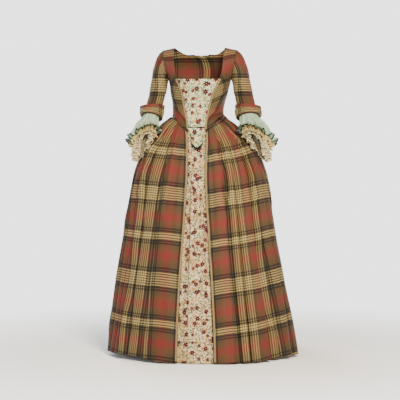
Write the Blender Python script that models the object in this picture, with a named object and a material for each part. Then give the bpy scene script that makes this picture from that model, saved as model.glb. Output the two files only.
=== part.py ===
# Robe a la francaise with its petticoat, stomacher and sleeve ruffles, hollow and as worn.
# Heights are measured up from the floor that the hems just clear, and front is -Y.
# Each cloth is a grid of points on the figure's surface, thickened inwards into a wall.

import math

import bmesh
import bpy
import numpy as np
from mathutils import Vector

# Driving sizes, in metres
SHOULDER_HEIGHT = 1.43
CHEST_CLOSES_FROM = 1.30
SHOULDER_SLOPE = 0.22
SLOPE_STARTS_X = 0.10
ARMPIT_HEIGHT = 1.275
ARMHOLE_HALF_WIDTH = 0.055
NECKLINE_HEIGHT = 1.275
BACK_NECK_HEIGHT = 1.392
BACK_NECK_RISE = 0.038
WAIST_HEIGHT = 1.10
WAIST_POINT_HEIGHT = 1.035
WAIST_POINT_ENDS = 10.0  # angle where the waist's point beside the stomacher begins to rise
WAIST_RISES_OVER = 52.0
WAIST_CURVE = 1.5
HEM_HEIGHT = 0.002
HEM_LIFTS = ((-52.0, 26.0, 0.020), (62.0, 14.0, 0.006))  # angle, spread in degrees and rise
ROUNDNESS = 2.2  # exponent of the figure's oval sections, where 2 is an ellipse

ROBE_CLOTH = 0.002
PETTICOAT_CLOTH = 0.0018
STOMACHER_CLOTH = 0.0018
RUFFLE_CLOTH = 0.0012
TRIM_CLOTH = 0.0012
SEAM = 0.0009
WAIST_SEAM = 0.0022
STOMACHER_DEPTH = 0.0040
STOMACHER_TUCK = 0.007
STOMACHER_SAG = 0.004
TAB_HEIGHT = 0.957
TAB_HALF_WIDTH = 0.027
TAB_TOP = 1.055
TAB_ROUNDS_FROM = 0.55  # share of the tab's height from which its end is rounded
NARROWEST = 0.010
PETTICOAT_DEPTH = 0.0068
PETTICOAT_DEEPER = 0.0035  # how much deeper it lies where its top goes in under the bodice
PETTICOAT_DEEPER_OVER = 0.25
PETTICOAT_BELOW_WAIST = 0.012
PETTICOAT_OVER_HEM = 0.003
TRIM_WIDTH = 0.010
BRAID_END = 0.002  # share of the panel that the braid stops short of its end
BRAID_INSET = 0.0006
BRAID_STEP = 0.01  # share of the panel's edge over which its direction is taken
BRAID_GAP = {"skirt": 0.0004, "bodice": 0.0011}

# The figure that the cloth hangs on, as ovals from the hem up to the shoulders.
# shift_x is how far the oval sits to the wearer's left.
SECTION_COLUMNS = ("height", "half_width", "front_depth", "back_depth", "shift_x")
BODY_SECTIONS = (
    (0.000, 0.417, 0.442, 0.570, 0.018),
    (0.140, 0.398, 0.406, 0.520, 0.015),
    (0.250, 0.381, 0.374, 0.480, 0.012),
    (0.370, 0.362, 0.337, 0.432, 0.009),
    (0.590, 0.325, 0.272, 0.346, 0.005),
    (0.700, 0.310, 0.238, 0.303, 0.002),
    (0.820, 0.290, 0.200, 0.255, 0.000),
    (0.900, 0.265, 0.175, 0.216, 0.000),
    (0.960, 0.240, 0.155, 0.184, 0.000),
    (1.020, 0.202, 0.131, 0.146, -0.003),
    (1.060, 0.170, 0.115, 0.116, -0.006),
    (1.085, 0.138, 0.104, 0.094, -0.007),
    (1.100, 0.122, 0.100, 0.085, -0.008),
    (1.130, 0.119, 0.103, 0.085, -0.008),
    (1.170, 0.124, 0.111, 0.089, -0.006),
    (1.210, 0.133, 0.119, 0.093, -0.003),
    (1.275, 0.146, 0.122, 0.099, 0.000),
    (1.310, 0.164, 0.121, 0.103, 0.000),
    (1.360, 0.186, 0.118, 0.105, 0.000),
    (1.400, 0.201, 0.115, 0.105, 0.000),
    (1.430, 0.211, 0.112, 0.104, 0.000),
)

# How far the robe's front edge stands from the middle of the front
EDGE_COLUMNS = ("height", "edge_x")
FRONT_EDGE = (
    (0.000, 0.082),
    (0.120, 0.079),
    (0.340, 0.069),
    (0.550, 0.056),
    (0.775, 0.042),
    (0.870, 0.038),
    (0.950, 0.038),
    (1.035, 0.038),
    (1.075, 0.042),
    (1.135, 0.053),
    (1.205, 0.067),
    (1.275, 0.098),
    (1.310, 0.109),
    (1.360, 0.114),
    (1.430, 0.118),
)

# Knife pleats of the robe's skirt: start and end as angles round the figure from the front, and depth
FRONT_PLEATS = {
    "left": (
        (33.5, 46.0, 0.007),
        (47.0, 53.0, 0.017),
        (54.5, 63.0, 0.014),
        (65.0, 76.0, 0.018),
        (78.0, 88.5, 0.014),
    ),
    "right": (
        (26.0, 31.0, 0.016),
        (32.0, 37.5, 0.017),
        (38.0, 51.0, 0.011),
        (57.0, 71.0, 0.019),
        (73.0, 88.5, 0.014),
    ),
}
SIDE_PLEATS = (
    (91.5, 102.0, 0.016),
    (103.5, 114.5, 0.019),
    (116.0, 126.5, 0.015),
)
FLAT_FRONT = {"left": 31.5, "right": 22.0}  # angle where the flat front panel folds under
FLAT_FRONT_DEPTH = 0.009
FLAT_SHARES = (0.0, 0.35, 0.7, 1.0)
FLAT_RISES_OVER = 0.7
FRONT_FOLD = 1.6  # degrees that the fold beside the flat front takes
PLEAT_SHOULDER = 0.13  # the share of a pleat from its edge to where it is nearly flat
SKIRT_ROWS = (0.0, 0.13, 0.30, 0.47, 0.63, 0.75, 0.84, 0.90, 0.945, 0.975, 1.0)
POCKET_SEAM = 90.0
SEAM_ANGLE = 0.06
BACK_SEAM = 128.0
# How much of a pleat's depth there is, by height
PLEAT_GROWTH = ((0.0, 1.35), (0.45, 1.15), (0.80, 1.0), (0.98, 0.62), (1.10, 0.30))

# The two double box pleats that fall from the back of the neck, across from -1 to 1
BOX_PLEATS = (
    (-0.86, -0.04, 0.018),
    (-0.70, -0.20, 0.013),
    (0.04, 0.86, 0.018),
    (0.20, 0.70, 0.013),
)
BOX_GROWTH = ((0.0, 1.5), (0.5, 1.45), (0.95, 1.25), (1.15, 0.9), (1.30, 0.5), (1.39, 0.32))
BOX_EDGE = 0.03  # the part of the back's half that the fold at a box pleat's edge takes
SACK_ROWS = (HEM_HEIGHT, 0.15, 0.32, 0.49, 0.65, 0.79, 0.90, 1.00, 1.08, 1.16, 1.24, 1.30, 1.345, 1.388)
SACK_BULGE = 0.8
SACK_COLUMNS = ("height", "half_angle", "stands_off", "lies_over")
SACK = (
    (0.000, 51.9, 0.000, 0.0000),
    (0.500, 51.9, 0.018, 0.0000),
    (0.850, 51.9, 0.044, 0.0000),
    (0.980, 51.9, 0.064, 0.0020),
    (1.070, 51.9, 0.074, 0.0050),
    (1.150, 53.0, 0.062, 0.0055),
    (1.260, 48.0, 0.022, 0.0060),
    (1.320, 45.0, 0.006, 0.0060),
    (1.388, 41.0, 0.000, 0.0048),
)

# Rows of points on the bodice, as shares of its height
NECKLINE_ROW = 0.607
BODICE_ROWS = (0.0, 0.05, 0.10, 0.15, 0.20, 0.27, 0.36, 0.46, 0.54, NECKLINE_ROW, 0.68, 0.76)
BODICE_ROWS += (0.84, 0.90, 0.945, 0.975, 0.993, 1.0)

# Rings of a sleeve from the armhole to the elbow, for an arm at +X: the outer and the inner end of
# each ring, its middle's depth, its half depth, and how far its front side is tilted up
RING_COLUMNS = ("outer_x", "outer_z", "inner_x", "inner_z", "middle_y", "half_depth", "tilt")
SLEEVE_RINGS = (
    (0.191, 1.401, 0.1495, 1.270, 0.000, 0.0570, 0.0),
    (0.207, 1.372, 0.1510, 1.261, -0.002, 0.0575, 0.0),
    (0.218, 1.333, 0.1525, 1.249, -0.006, 0.0565, 0.0),
    (0.225, 1.288, 0.1540, 1.232, -0.014, 0.0545, 2.0),
    (0.231, 1.240, 0.1570, 1.209, -0.030, 0.0520, 5.0),
    (0.237, 1.190, 0.1640, 1.180, -0.053, 0.0500, 11.0),
    (0.247, 1.142, 0.1700, 1.138, -0.078, 0.0480, 18.0),
    (0.259, 1.102, 0.1770, 1.092, -0.104, 0.0470, 25.0),
)
# How much further out the elbow of each arm is, at its outer and its inner side
ELBOW_SHIFT = {"left": (0.000, 0.000), "right": (0.024, 0.010)}
ELBOW_SHIFT_CURVE = 1.2
ARMHOLE_GAP = 0.0011
ARMHOLE_INSET = 0.0004
AROUND_ARM = 18

CUFF_TOP = (0.274, 1.147, 0.1570, 1.154, -0.074, 0.0620, 9.0)
CUFF_FLARE = 0.012  # how far the cuff's lower edge stands outside the sleeve's end
CUFF_EDGE_LIFT = 0.006
CUFF_TOP_SHIFT = 0.7  # share of the elbow's shift that the cuff's top takes on its outer side
CUFF_ROWS = (0.0, 0.35, 0.8, 1.0, 2.0)  # from its top to its edge at 1, and under it to the sleeve at 2
CUFF_GAP = 0.0009
CUFF_END = 0.0005

# Sleeve ruffles, from the outside in: how far each lies inside the sleeve's end, its length over
# the forearm and behind the elbow, and how it leans away from the arm as it falls
RUFFLE_COLUMNS = ("inside", "short", "long", "lean_out", "spread_out", "spread_front")
RUFFLES = {
    "silk": (0.0020, 0.055, 0.145, 0.31, 0.22, 0.17),
    "lace_upper": (0.0043, 0.078, 0.165, 0.31, 0.10, 0.12),
    "lace_lower": (0.0068, 0.092, 0.215, 0.31, 0.00, 0.08),
}
RUFFLE_LEAN = {"left": 0.95, "right": 1.15}  # how far each arm's ruffles lean out, as a share of the table
RUFFLE_LEAN_FRONT = 0.17
RUFFLE_FALL = 0.92  # how much of a ruffle's length is its drop
RUFFLE_WAVES = 11
RUFFLE_LONG_AT = -38.0  # where round the arm the ruffles are longest, from the outer side towards the back
RUFFLE_WAVE_AT_RING = 0.0012
RUFFLE_WAVE_AT_END = 0.0125
RUFFLE_FULL_LENGTH = 0.215
RUFFLE_TUCK = 0.007
RUFFLE_START = 0.001
RUFFLE_LENGTH_CURVE = 1.2
RUFFLE_STRAIGHTENS = 0.8  # how fast a ruffle's lean lessens as it falls
RUFFLE_WAVE_CURVE = 0.8
RUFFLE_WAVE_INSET = 0.6

COLOURS = {
    "plaid": (0.36, 0.22, 0.12),
    "floral": (0.78, 0.72, 0.55),
    "silk": (0.66, 0.78, 0.68),
    "lace": (0.66, 0.52, 0.28),
    "trim": (0.82, 0.76, 0.54),
}


def column(table, columns, name):
    return np.array([row[columns.index(name)] for row in table], float)


def smooth_curve(places, values, at):
    # A monotone cubic through the table's points, so that it never overshoots
    steps = np.diff(places)
    slopes = np.diff(values) / steps
    tangents = np.empty(len(values))
    tangents[0], tangents[-1] = slopes[0], slopes[-1]
    before, after = slopes[:-1], slopes[1:]
    same_way = before * after > 0
    total = np.where(same_way, before + after, 1.0)
    tangents[1:-1] = np.where(same_way, 2 * before * after / total, 0.0)
    at = min(max(at, places[0]), places[-1])
    i = min(max(int(np.searchsorted(places, at)) - 1, 0), len(steps) - 1)
    t = (at - places[i]) / steps[i]
    return float(
        values[i] * (1 + 2 * t) * (1 - t) ** 2
        + steps[i] * tangents[i] * t * (1 - t) ** 2
        + values[i + 1] * t * t * (3 - 2 * t)
        + steps[i] * tangents[i + 1] * t * t * (t - 1)
    )


def reader(table, columns, along="height"):
    places = column(table, columns, along)
    values = {name: column(table, columns, name) for name in columns}
    return lambda name, at: smooth_curve(places, values[name], at)


GROWTH_COLUMNS = ("height", "share")
section = reader(BODY_SECTIONS, SECTION_COLUMNS)
front_edge = reader(FRONT_EDGE, EDGE_COLUMNS)
sack = reader(SACK, SACK_COLUMNS)
pleat_growth = reader(PLEAT_GROWTH, GROWTH_COLUMNS)
box_growth = reader(BOX_GROWTH, GROWTH_COLUMNS)


def ease(t):
    t = min(max(t, 0.0), 1.0)
    return t * t * (3 - 2 * t)


def chest_closure(height):
    # The chest and back close over the shoulders like a dome
    reach = (height - CHEST_CLOSES_FROM) / (SHOULDER_HEIGHT - CHEST_CLOSES_FROM)
    return math.sqrt(max(1.0 - max(reach, 0.0) ** 2, 1e-6))


def depths(height):
    closure = chest_closure(height)
    return section("front_depth", height) * closure, section("back_depth", height) * closure


def body_point(angle, height):
    # The point of the figure at an angle in degrees from the front, positive towards +X
    front, back = depths(height)
    across, along = math.sin(math.radians(angle)), math.cos(math.radians(angle))
    x = section("half_width", height) * math.copysign(abs(across) ** (2 / ROUNDNESS), across)
    depth = front if along > 0 else back
    y = -depth * math.copysign(abs(along) ** (2 / ROUNDNESS), along)
    reach = (height - CHEST_CLOSES_FROM) / (SHOULDER_HEIGHT - CHEST_CLOSES_FROM)
    drop = SHOULDER_SLOPE * ease(reach) * max(abs(x) - SLOPE_STARTS_X, 0.0)
    return np.array((x + section("shift_x", height), y, height - drop))


NORMAL_STEP = (0.5, 0.002)  # degrees and metres to each side of the point


def body_normal(angle, height):
    step, rise = NORMAL_STEP
    low, high = height - rise, min(height + rise, SHOULDER_HEIGHT)
    round_it = body_point(angle + step, height) - body_point(angle - step, height)
    up_it = body_point(angle, high) - body_point(angle, low)
    normal = np.cross(round_it, up_it)
    return normal / np.linalg.norm(normal)


def off_body(angle, height, out):
    return body_point(angle, height) + out * body_normal(angle, height)


def angle_at_x(x, height):
    share = min(max(x / section("half_width", height), 0.0), 1.0)
    return math.degrees(math.asin(share ** (ROUNDNESS / 2)))


def armhole_half_width(height):
    # The armhole is an oval, seen from the side, between the armpit and the shoulder
    middle = (ARMPIT_HEIGHT + SHOULDER_HEIGHT) / 2
    share = (height - middle) / (SHOULDER_HEIGHT - middle)
    return ARMHOLE_HALF_WIDTH * math.sqrt(max(1.0 - share * share, 0.0))


def armhole_angle(height, at_back):
    # The angle of the panel's outer edge: the side seam, and above it the armhole
    height = min(height, SHOULDER_HEIGHT - 1e-5)
    depth = depths(height)[1 if at_back else 0]
    open_by = armhole_half_width(height) if height > ARMPIT_HEIGHT else 0.0
    share = min(max(open_by, SEAM / 2) / depth, 0.999)
    from_side = math.degrees(math.acos(share ** (ROUNDNESS / 2)))
    return 180.0 - from_side if at_back else from_side


def waist_height(angle):
    # The waist seam dips to a point beside the stomacher
    share = (abs(angle) - WAIST_POINT_ENDS) / WAIST_RISES_OVER
    share = 1 - (1 - min(max(share, 0.0), 1.0)) ** WAIST_CURVE
    return WAIST_POINT_HEIGHT + (WAIST_HEIGHT - WAIST_POINT_HEIGHT) * share


def hem_height(angle):
    # The hem is uneven, and highest beside the front at -X
    lift = 0.0
    for middle, spread, rise in HEM_LIFTS:
        lift += rise * math.exp(-(((angle - middle) / spread) ** 2))
    return HEM_HEIGHT + lift


def plateau(share):
    # A pleat's profile: it rises at its edges and is nearly flat on top
    return max(1.0 - abs(2 * share - 1) ** 4, 0.0)


def pleat_depth(pleats, place):
    depth = 0.0
    for start, end, stands_out in pleats:
        if start < place < end:
            depth += stands_out * plateau((place - start) / (end - start))
    return depth


def box_depth(place):
    # A box pleat's profile: a steep fold at each edge and flat on top
    depth = 0.0
    for start, end, stands_out in BOX_PLEATS:
        depth += stands_out * ease(min(place - start, end - place) / BOX_EDGE)
    return depth


def new_material(name):
    material = bpy.data.materials.new(name)
    material.use_nodes = True
    shader = material.node_tree.nodes["Principled BSDF"]
    shader.inputs["Base Color"].default_value = (*COLOURS[name], 1.0)
    shader.inputs["Roughness"].default_value = 0.75
    shader.inputs["Metallic"].default_value = 0.0
    material.diffuse_color = (*COLOURS[name], 1.0)
    return material


def cloth(name, across, up, point, thickness, material, gown, closed=False):
    # A wall of cloth through point(a, b), for each a of across and each b of up
    bm = bmesh.new()
    bmesh.ops.create_grid(bm, x_segments=len(across) - 1, y_segments=len(up) - 1, size=0.5)
    for vert in bm.verts:
        a = across[round((vert.co.x + 0.5) * (len(across) - 1))]
        b = up[round((vert.co.y + 0.5) * (len(up) - 1))]
        vert.co = point(a, b)
    if closed:
        bmesh.ops.remove_doubles(bm, verts=bm.verts, dist=1e-5)
    bm.normal_update()
    # Its outer side faces away from the arm it goes round, or from the figure's middle
    inside = Vector(np.mean([v.co for v in bm.verts], axis=0)) if closed else Vector()
    facing = 0.0
    for face in bm.faces:
        away = face.calc_center_median() - inside
        away.z = 0.0
        facing += face.normal.dot(away) * face.calc_area()
    if facing < 0:
        bmesh.ops.reverse_faces(bm, faces=bm.faces)
    mesh = bpy.data.meshes.new(name)
    bm.to_mesh(mesh)
    bm.free()
    mesh.shade_smooth()
    mesh.materials.append(material)
    obj = bpy.data.objects.new(name, mesh)
    bpy.context.scene.collection.objects.link(obj)
    obj.parent = gown
    wall = obj.modifiers.new("wall", "SOLIDIFY")
    wall.thickness = thickness
    wall.offset = -1.0


def evenly(start, end, steps):
    return [start + (end - start) * i / steps for i in range(steps + 1)]


def pleat_stations(pleats):
    # Where a pleated panel needs points: at each pleat's edges, shoulders and middle
    places = []
    for start, end, _ in pleats:
        shoulder = PLEAT_SHOULDER * (end - start)
        places += [start, start + shoulder, (start + end) / 2, end - shoulder, end]
    return places


def skirt_height(angle, share):
    bottom, top = hem_height(angle), waist_height(angle) - WAIST_SEAM / 2
    return bottom + (top - bottom) * share


def add_skirt_front(side, sign, plaid, trim, gown):
    pleats = FRONT_PLEATS[side]
    flat_end = FLAT_FRONT[side]
    stations = [("flat", share) for share in FLAT_SHARES]
    folded = [flat_end + FRONT_FOLD, *pleat_stations(pleats), POCKET_SEAM - SEAM_ANGLE]
    stations += [("fold", angle) for angle in folded]

    def point(station, share):
        kind, place = station
        angle = flat_end if kind == "flat" else place
        height = skirt_height(sign * angle, share)
        stands_out = pleat_depth(pleats, angle)
        if kind == "flat":
            edge = angle_at_x(front_edge("edge_x", height), height)
            angle = edge + (flat_end - edge) * place
            height = skirt_height(sign * angle, share)
            stands_out = FLAT_FRONT_DEPTH * ease(place / FLAT_RISES_OVER)
        out = stands_out * pleat_growth("share", height)
        return off_body(sign * angle, height, out)

    cloth(f"skirt_front_{side}", stations, SKIRT_ROWS, point, ROBE_CLOTH, plaid, gown)
    rows = [max(row, BRAID_END) for row in SKIRT_ROWS[:-1]] + [1.0 - BRAID_END]
    add_braid("skirt", side, point, stations, rows, trim, gown)


def add_skirt_side(side, sign, material, gown):
    stations = [POCKET_SEAM + SEAM_ANGLE, *pleat_stations(SIDE_PLEATS), BACK_SEAM]

    def point(angle, share):
        height = skirt_height(sign * angle, share)
        out = pleat_depth(SIDE_PLEATS, angle) * pleat_growth("share", height)
        return off_body(sign * angle, height, out)

    cloth(f"skirt_side_{side}", stations, SKIRT_ROWS, point, ROBE_CLOTH, material, gown)


def add_sack_back(material, gown):
    # The back that falls in box pleats from the neck, over the fitted back, to the hem
    half = [-1.0, -0.93]
    for start, end, _ in BOX_PLEATS[:2]:
        half += [start, start + BOX_EDGE, end - BOX_EDGE, end]
    half = sorted([*half, (BOX_PLEATS[1][0] + BOX_PLEATS[1][1]) / 2])
    stations = [*half, 0.0, *[-place for place in reversed(half)]]

    def point(place, height):
        angle = 180.0 - place * sack("half_angle", height)
        out = sack("lies_over", height) + box_depth(place) * box_growth("share", height)
        spot = off_body(angle, height, out)
        spot[1] += sack("stands_off", height) * (1 - place * place) ** SACK_BULGE
        return spot

    cloth("sack_back", stations, SACK_ROWS, point, ROBE_CLOTH, material, gown)


def add_bodice_front(side, sign, plaid, trim, gown):
    across = (0.0, 0.12, 0.29, 0.46, 0.64, 0.82, 1.0)

    def edges(height):
        return angle_at_x(front_edge("edge_x", height), height), armhole_angle(height, False)

    def bottom_height(place):
        height = WAIST_HEIGHT
        for _ in range(6):
            inner, outer = edges(height)
            height = waist_height(inner + (outer - inner) * place)
        return height + SEAM / 2

    def point(place, share):
        bottom = bottom_height(place)
        height = bottom + (SHOULDER_HEIGHT - bottom) * share
        inner, outer = edges(height)
        spot = body_point(sign * (inner + (outer - inner) * place), height)
        spot[1] = min(spot[1], -SEAM / 2)
        return spot

    cloth(f"bodice_front_{side}", across, BODICE_ROWS, point, ROBE_CLOTH, plaid, gown)
    neckline = BODICE_ROWS.index(NECKLINE_ROW) + 1
    rows = [max(row, BRAID_END) for row in BODICE_ROWS[:neckline]]
    add_braid("bodice", side, point, across, rows, trim, gown)


def add_bodice_back(material, gown):
    across = evenly(-1.0, 1.0, 16)
    up = (0.0, 0.12, 0.26, 0.40, 0.52, 0.60, 0.69, 0.78, 0.86, 0.93, 0.97, 0.992, 1.0)
    neck_angle = angle_at_x(front_edge("edge_x", SHOULDER_HEIGHT), SHOULDER_HEIGHT)

    def top_height(place):
        edge = armhole_angle(SHOULDER_HEIGHT, True)
        neck_share = (180.0 - neck_angle - edge) / (180.0 - edge)
        towards_neck = min(abs(place) / (1.0 - neck_share), 1.0)
        return BACK_NECK_HEIGHT + BACK_NECK_RISE * towards_neck**3

    def point(place, share):
        bottom = WAIST_HEIGHT + SEAM / 2
        height = bottom + (top_height(place) - bottom) * share
        half_angle = 180.0 - armhole_angle(height, True)
        spot = body_point(180.0 - place * half_angle, height)
        spot[1] = max(spot[1], SEAM / 2)
        return spot

    cloth("bodice_back", across, up, point, ROBE_CLOTH, material, gown)


def add_stomacher(material, gown):
    # The panel that fills the front, from the neckline to a rounded tab over the petticoat
    across = evenly(-1.0, 1.0, 10)
    up = (0.0, 0.03, 0.08, 0.15, 0.24, 0.31, 0.37, 0.42, 0.47, 0.53, 0.60, 0.70, 0.85, 1.0)

    def half_width(height):
        if height >= TAB_TOP:
            return front_edge("edge_x", height) + STOMACHER_TUCK
        share = (TAB_TOP - height) / (TAB_TOP - TAB_HEIGHT)
        narrowing = front_edge("edge_x", TAB_TOP) + STOMACHER_TUCK - TAB_HALF_WIDTH
        straight = TAB_HALF_WIDTH + narrowing * (1 - ease(share * 3))
        rounding = max((share - TAB_ROUNDS_FROM) / (1.0 - TAB_ROUNDS_FROM), 0.0)
        return straight * math.sqrt(max(1.0 - rounding**2.4, 0.0))

    def point(place, share):
        height = TAB_HEIGHT + (NECKLINE_HEIGHT - TAB_HEIGHT) * share
        width = max(half_width(height), NARROWEST)
        sag = STOMACHER_SAG * (1 - place * place) * (1.0 - share) ** 8
        x = width * place
        angle = math.copysign(angle_at_x(abs(x), height), x)
        spot = off_body(angle, height, -STOMACHER_DEPTH)
        spot[2] -= sag
        return spot

    cloth("stomacher", across, up, point, STOMACHER_CLOTH, material, gown)


def add_petticoat(half, first, last, material, gown):
    across = evenly(first, last, 18)
    up = (0.0, 0.25, 0.5, 0.68, 0.80, 0.88, 0.94, 0.975, 1.0)
    top = WAIST_HEIGHT - PETTICOAT_BELOW_WAIST

    def point(angle, share):
        bottom = hem_height(angle) + PETTICOAT_OVER_HEM
        height = bottom + (top - bottom) * share
        deeper = PETTICOAT_DEEPER * ease((1.0 - share) / PETTICOAT_DEEPER_OVER)
        return off_body(angle, height, -PETTICOAT_DEPTH - deeper)

    cloth(f"petticoat_{half}", across, up, point, PETTICOAT_CLOTH, material, gown)


def add_braid(part, side, place_point, stations, rows, material, gown):
    # The braid sewn along a panel's edge: the panel's own points, moved out
    def point(share, row):
        first, second = place_point(stations[0], row), place_point(stations[1], row)
        across = second - first
        length = np.linalg.norm(across)
        higher = place_point(stations[0], min(row + BRAID_STEP, 1.0))
        lower = place_point(stations[0], max(row - BRAID_STEP, 0.0))
        normal = np.cross(across, higher - lower)
        normal = normal / np.linalg.norm(normal)
        if normal[1] > 0:
            normal = -normal
        inset = BRAID_INSET + TRIM_WIDTH * share
        return first + across / length * inset + normal * (TRIM_CLOTH + BRAID_GAP[part])

    cloth(f"braid_{part}_{side}", (0.0, 1.0), rows, point, TRIM_CLOTH, material, gown)


def sleeve_rings(side):
    outer_shift, inner_shift = ELBOW_SHIFT[side]
    rings = []
    for i, row in enumerate(SLEEVE_RINGS):
        ring = dict(zip(RING_COLUMNS, row))
        share = (i / (len(SLEEVE_RINGS) - 1)) ** ELBOW_SHIFT_CURVE
        ring["outer_x"] += outer_shift * share
        ring["inner_x"] += inner_shift * share
        rings.append(ring)
    return rings


def cuff_top_ring(side):
    outer_shift, inner_shift = ELBOW_SHIFT[side]
    ring = dict(zip(RING_COLUMNS, CUFF_TOP))
    ring["outer_x"] += CUFF_TOP_SHIFT * outer_shift
    ring["inner_x"] += inner_shift
    return ring


def ring_axes(ring):
    outer = np.array((ring["outer_x"], ring["middle_y"], ring["outer_z"]))
    inner = np.array((ring["inner_x"], ring["middle_y"], ring["inner_z"]))
    tilt = math.radians(ring["tilt"])
    forward = ring["half_depth"] * np.array((0.0, -math.cos(tilt), math.sin(tilt)))
    return (outer + inner) / 2, (outer - inner) / 2, forward


def ring_point(ring, turn, grow=0.0):
    # turn is 0 at the outer side of the arm and 90 at its front
    middle, outward, forward = ring_axes(ring)
    reach = 1.0 + grow / np.linalg.norm(outward)
    depth = 1.0 + grow / np.linalg.norm(forward)
    turn = math.radians(turn)
    return middle + reach * math.cos(turn) * outward + depth * math.sin(turn) * forward


def armhole_point(turn):
    # The armhole's edge on the figure, for an arm at +X
    middle = (ARMPIT_HEIGHT + SHOULDER_HEIGHT) / 2
    height = middle + (SHOULDER_HEIGHT - middle) * math.cos(math.radians(turn)) * 0.9999
    at_back = math.sin(math.radians(turn)) < 0
    return body_point(armhole_angle(height, at_back), height)


def placed(spot, sign):
    return np.array((sign * spot[0], spot[1], spot[2]))


def add_sleeve(side, sign, material, gown):
    rings = sleeve_rings(side)
    around = evenly(0.0, 360.0, AROUND_ARM)

    def point(turn, index):
        if index == 0:
            spot = armhole_point(turn % 360.0)
            spot += np.array((ARMHOLE_GAP, ARMHOLE_INSET * math.sin(math.radians(turn)), 0.0))
        else:
            spot = ring_point(rings[index - 1], turn)
        return placed(spot, sign)

    indices = list(range(len(rings) + 1))
    cloth(f"sleeve_{side}", around, indices, point, ROBE_CLOTH, material, gown, closed=True)


def add_cuff(side, sign, material, gown):
    # The turned-back cuff stands round the sleeve and folds in under it at the elbow
    end = sleeve_rings(side)[-1]
    top = cuff_top_ring(side)
    _, outward, forward = ring_axes(end)
    axis = np.cross(outward, forward)
    axis = axis / np.linalg.norm(axis) * (-1 if axis[2] > 0 else 1)
    around = evenly(0.0, 360.0, AROUND_ARM)

    def point(turn, row):
        low = ring_point(end, turn, CUFF_FLARE) - CUFF_EDGE_LIFT * axis
        if row <= 1.0:
            spot = ring_point(top, turn) * (1 - row) + low * row
        else:
            spot = ring_point(end, turn, SEAM + CUFF_GAP) - CUFF_END * axis
        return placed(spot, sign)

    cloth(f"cuff_{side}", around, CUFF_ROWS, point, ROBE_CLOTH, material, gown, closed=True)


def sleeve_end_point(rings, turn, way):
    # A point on the sleeve's end ring, or the way back up the sleeve from it
    end, before = ring_point(rings[-1], turn), ring_point(rings[-2], turn)
    back_up = before - end
    return end + back_up / np.linalg.norm(back_up) * way


def ruffle_length(tier, turn):
    row = dict(zip(RUFFLE_COLUMNS, RUFFLES[tier]))
    towards_long = (1 + math.cos(math.radians(turn - RUFFLE_LONG_AT))) / 2
    return row["short"] + (row["long"] - row["short"]) * towards_long**RUFFLE_LENGTH_CURVE


def ruffle_point(side, rings, tier, turn, way):
    row = dict(zip(RUFFLE_COLUMNS, RUFFLES[tier]))
    fallen = max(way, 0.0)
    radial = ring_point(rings[-1], turn) - ring_axes(rings[-1])[0]
    radial = radial / np.linalg.norm(radial)
    start = sleeve_end_point(rings, turn, max(-way, 0.0)) - radial * (ROBE_CLOTH + row["inside"])
    around = math.radians(turn)
    lean_out = row["lean_out"] + row["spread_out"] * math.cos(around)
    lean_out *= RUFFLE_LEAN[side] * (1 - RUFFLE_STRAIGHTENS * fallen)
    lean_front = RUFFLE_LEAN_FRONT + row["spread_front"] * math.sin(around)
    heading = np.array((lean_out, -lean_front, -RUFFLE_FALL))
    size = RUFFLE_WAVE_AT_END - RUFFLE_WAVE_AT_RING
    size = RUFFLE_WAVE_AT_RING + size * (fallen / RUFFLE_FULL_LENGTH) ** RUFFLE_WAVE_CURVE
    outward_way = radial - radial.dot(heading) * heading / heading.dot(heading)
    outward_way = outward_way / np.linalg.norm(outward_way)
    wave = size * math.cos(math.radians(RUFFLE_WAVES * turn)) - RUFFLE_WAVE_INSET * RUFFLE_WAVE_AT_RING
    return start + heading * fallen + outward_way * wave


def add_ruffles(side, sign, materials, gown):
    # Each tier has points at the ends of the tiers over it too, so that they lie parallel
    rings = sleeve_rings(side)
    around = evenly(0.0, 360.0, RUFFLE_WAVES * 4)
    ends = []
    for tier in RUFFLES:
        ends.append(tier)

        def way_down(turn, row, ends=tuple(ends)):
            ways = [-RUFFLE_TUCK, RUFFLE_START, ruffle_length(ends[0], turn) / 2]
            ways += [ruffle_length(end, turn) for end in ends]
            return ways[row]

        def point(turn, row, tier=tier, way_down=way_down):
            return placed(ruffle_point(side, rings, tier, turn, way_down(turn, row)), sign)

        rows = list(range(3 + len(ends)))
        name = f"ruffle_{tier}_{side}"
        cloth(name, around, rows, point, RUFFLE_CLOTH, materials[tier], gown, closed=True)


def main():
    for obj in list(bpy.data.objects):
        bpy.data.objects.remove(obj)
    plaid, floral = new_material("plaid"), new_material("floral")
    silk, lace, trim = new_material("silk"), new_material("lace"), new_material("trim")
    # The origin is where the wearer's shoulders hold the gown up
    gown = bpy.data.objects.new("gown", None)
    bpy.context.scene.collection.objects.link(gown)
    gown.location = (0.0, 0.0, -SHOULDER_HEIGHT)
    for side, sign in (("left", -1), ("right", 1)):
        add_bodice_front(side, sign, plaid, trim, gown)
        add_skirt_front(side, sign, plaid, trim, gown)
        add_skirt_side(side, sign, plaid, gown)
        add_sleeve(side, sign, plaid, gown)
        add_cuff(side, sign, plaid, gown)
        ruffle_materials = {"silk": silk, "lace_upper": lace, "lace_lower": lace}
        add_ruffles(side, sign, ruffle_materials, gown)
    add_bodice_back(plaid, gown)
    add_sack_back(plaid, gown)
    add_stomacher(floral, gown)
    add_petticoat("front", SEAM_ANGLE - 90.0, 90.0 - SEAM_ANGLE, floral, gown)
    add_petticoat("back", 90.0 + SEAM_ANGLE, 270.0 - SEAM_ANGLE, floral, gown)


main()
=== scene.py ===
# Robe a la francaise with its petticoat, stomacher and sleeve ruffles: the looks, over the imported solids.
# Heights are measured up from the floor, front is -Y, left is -X, and every size is in metres.
import math

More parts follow.
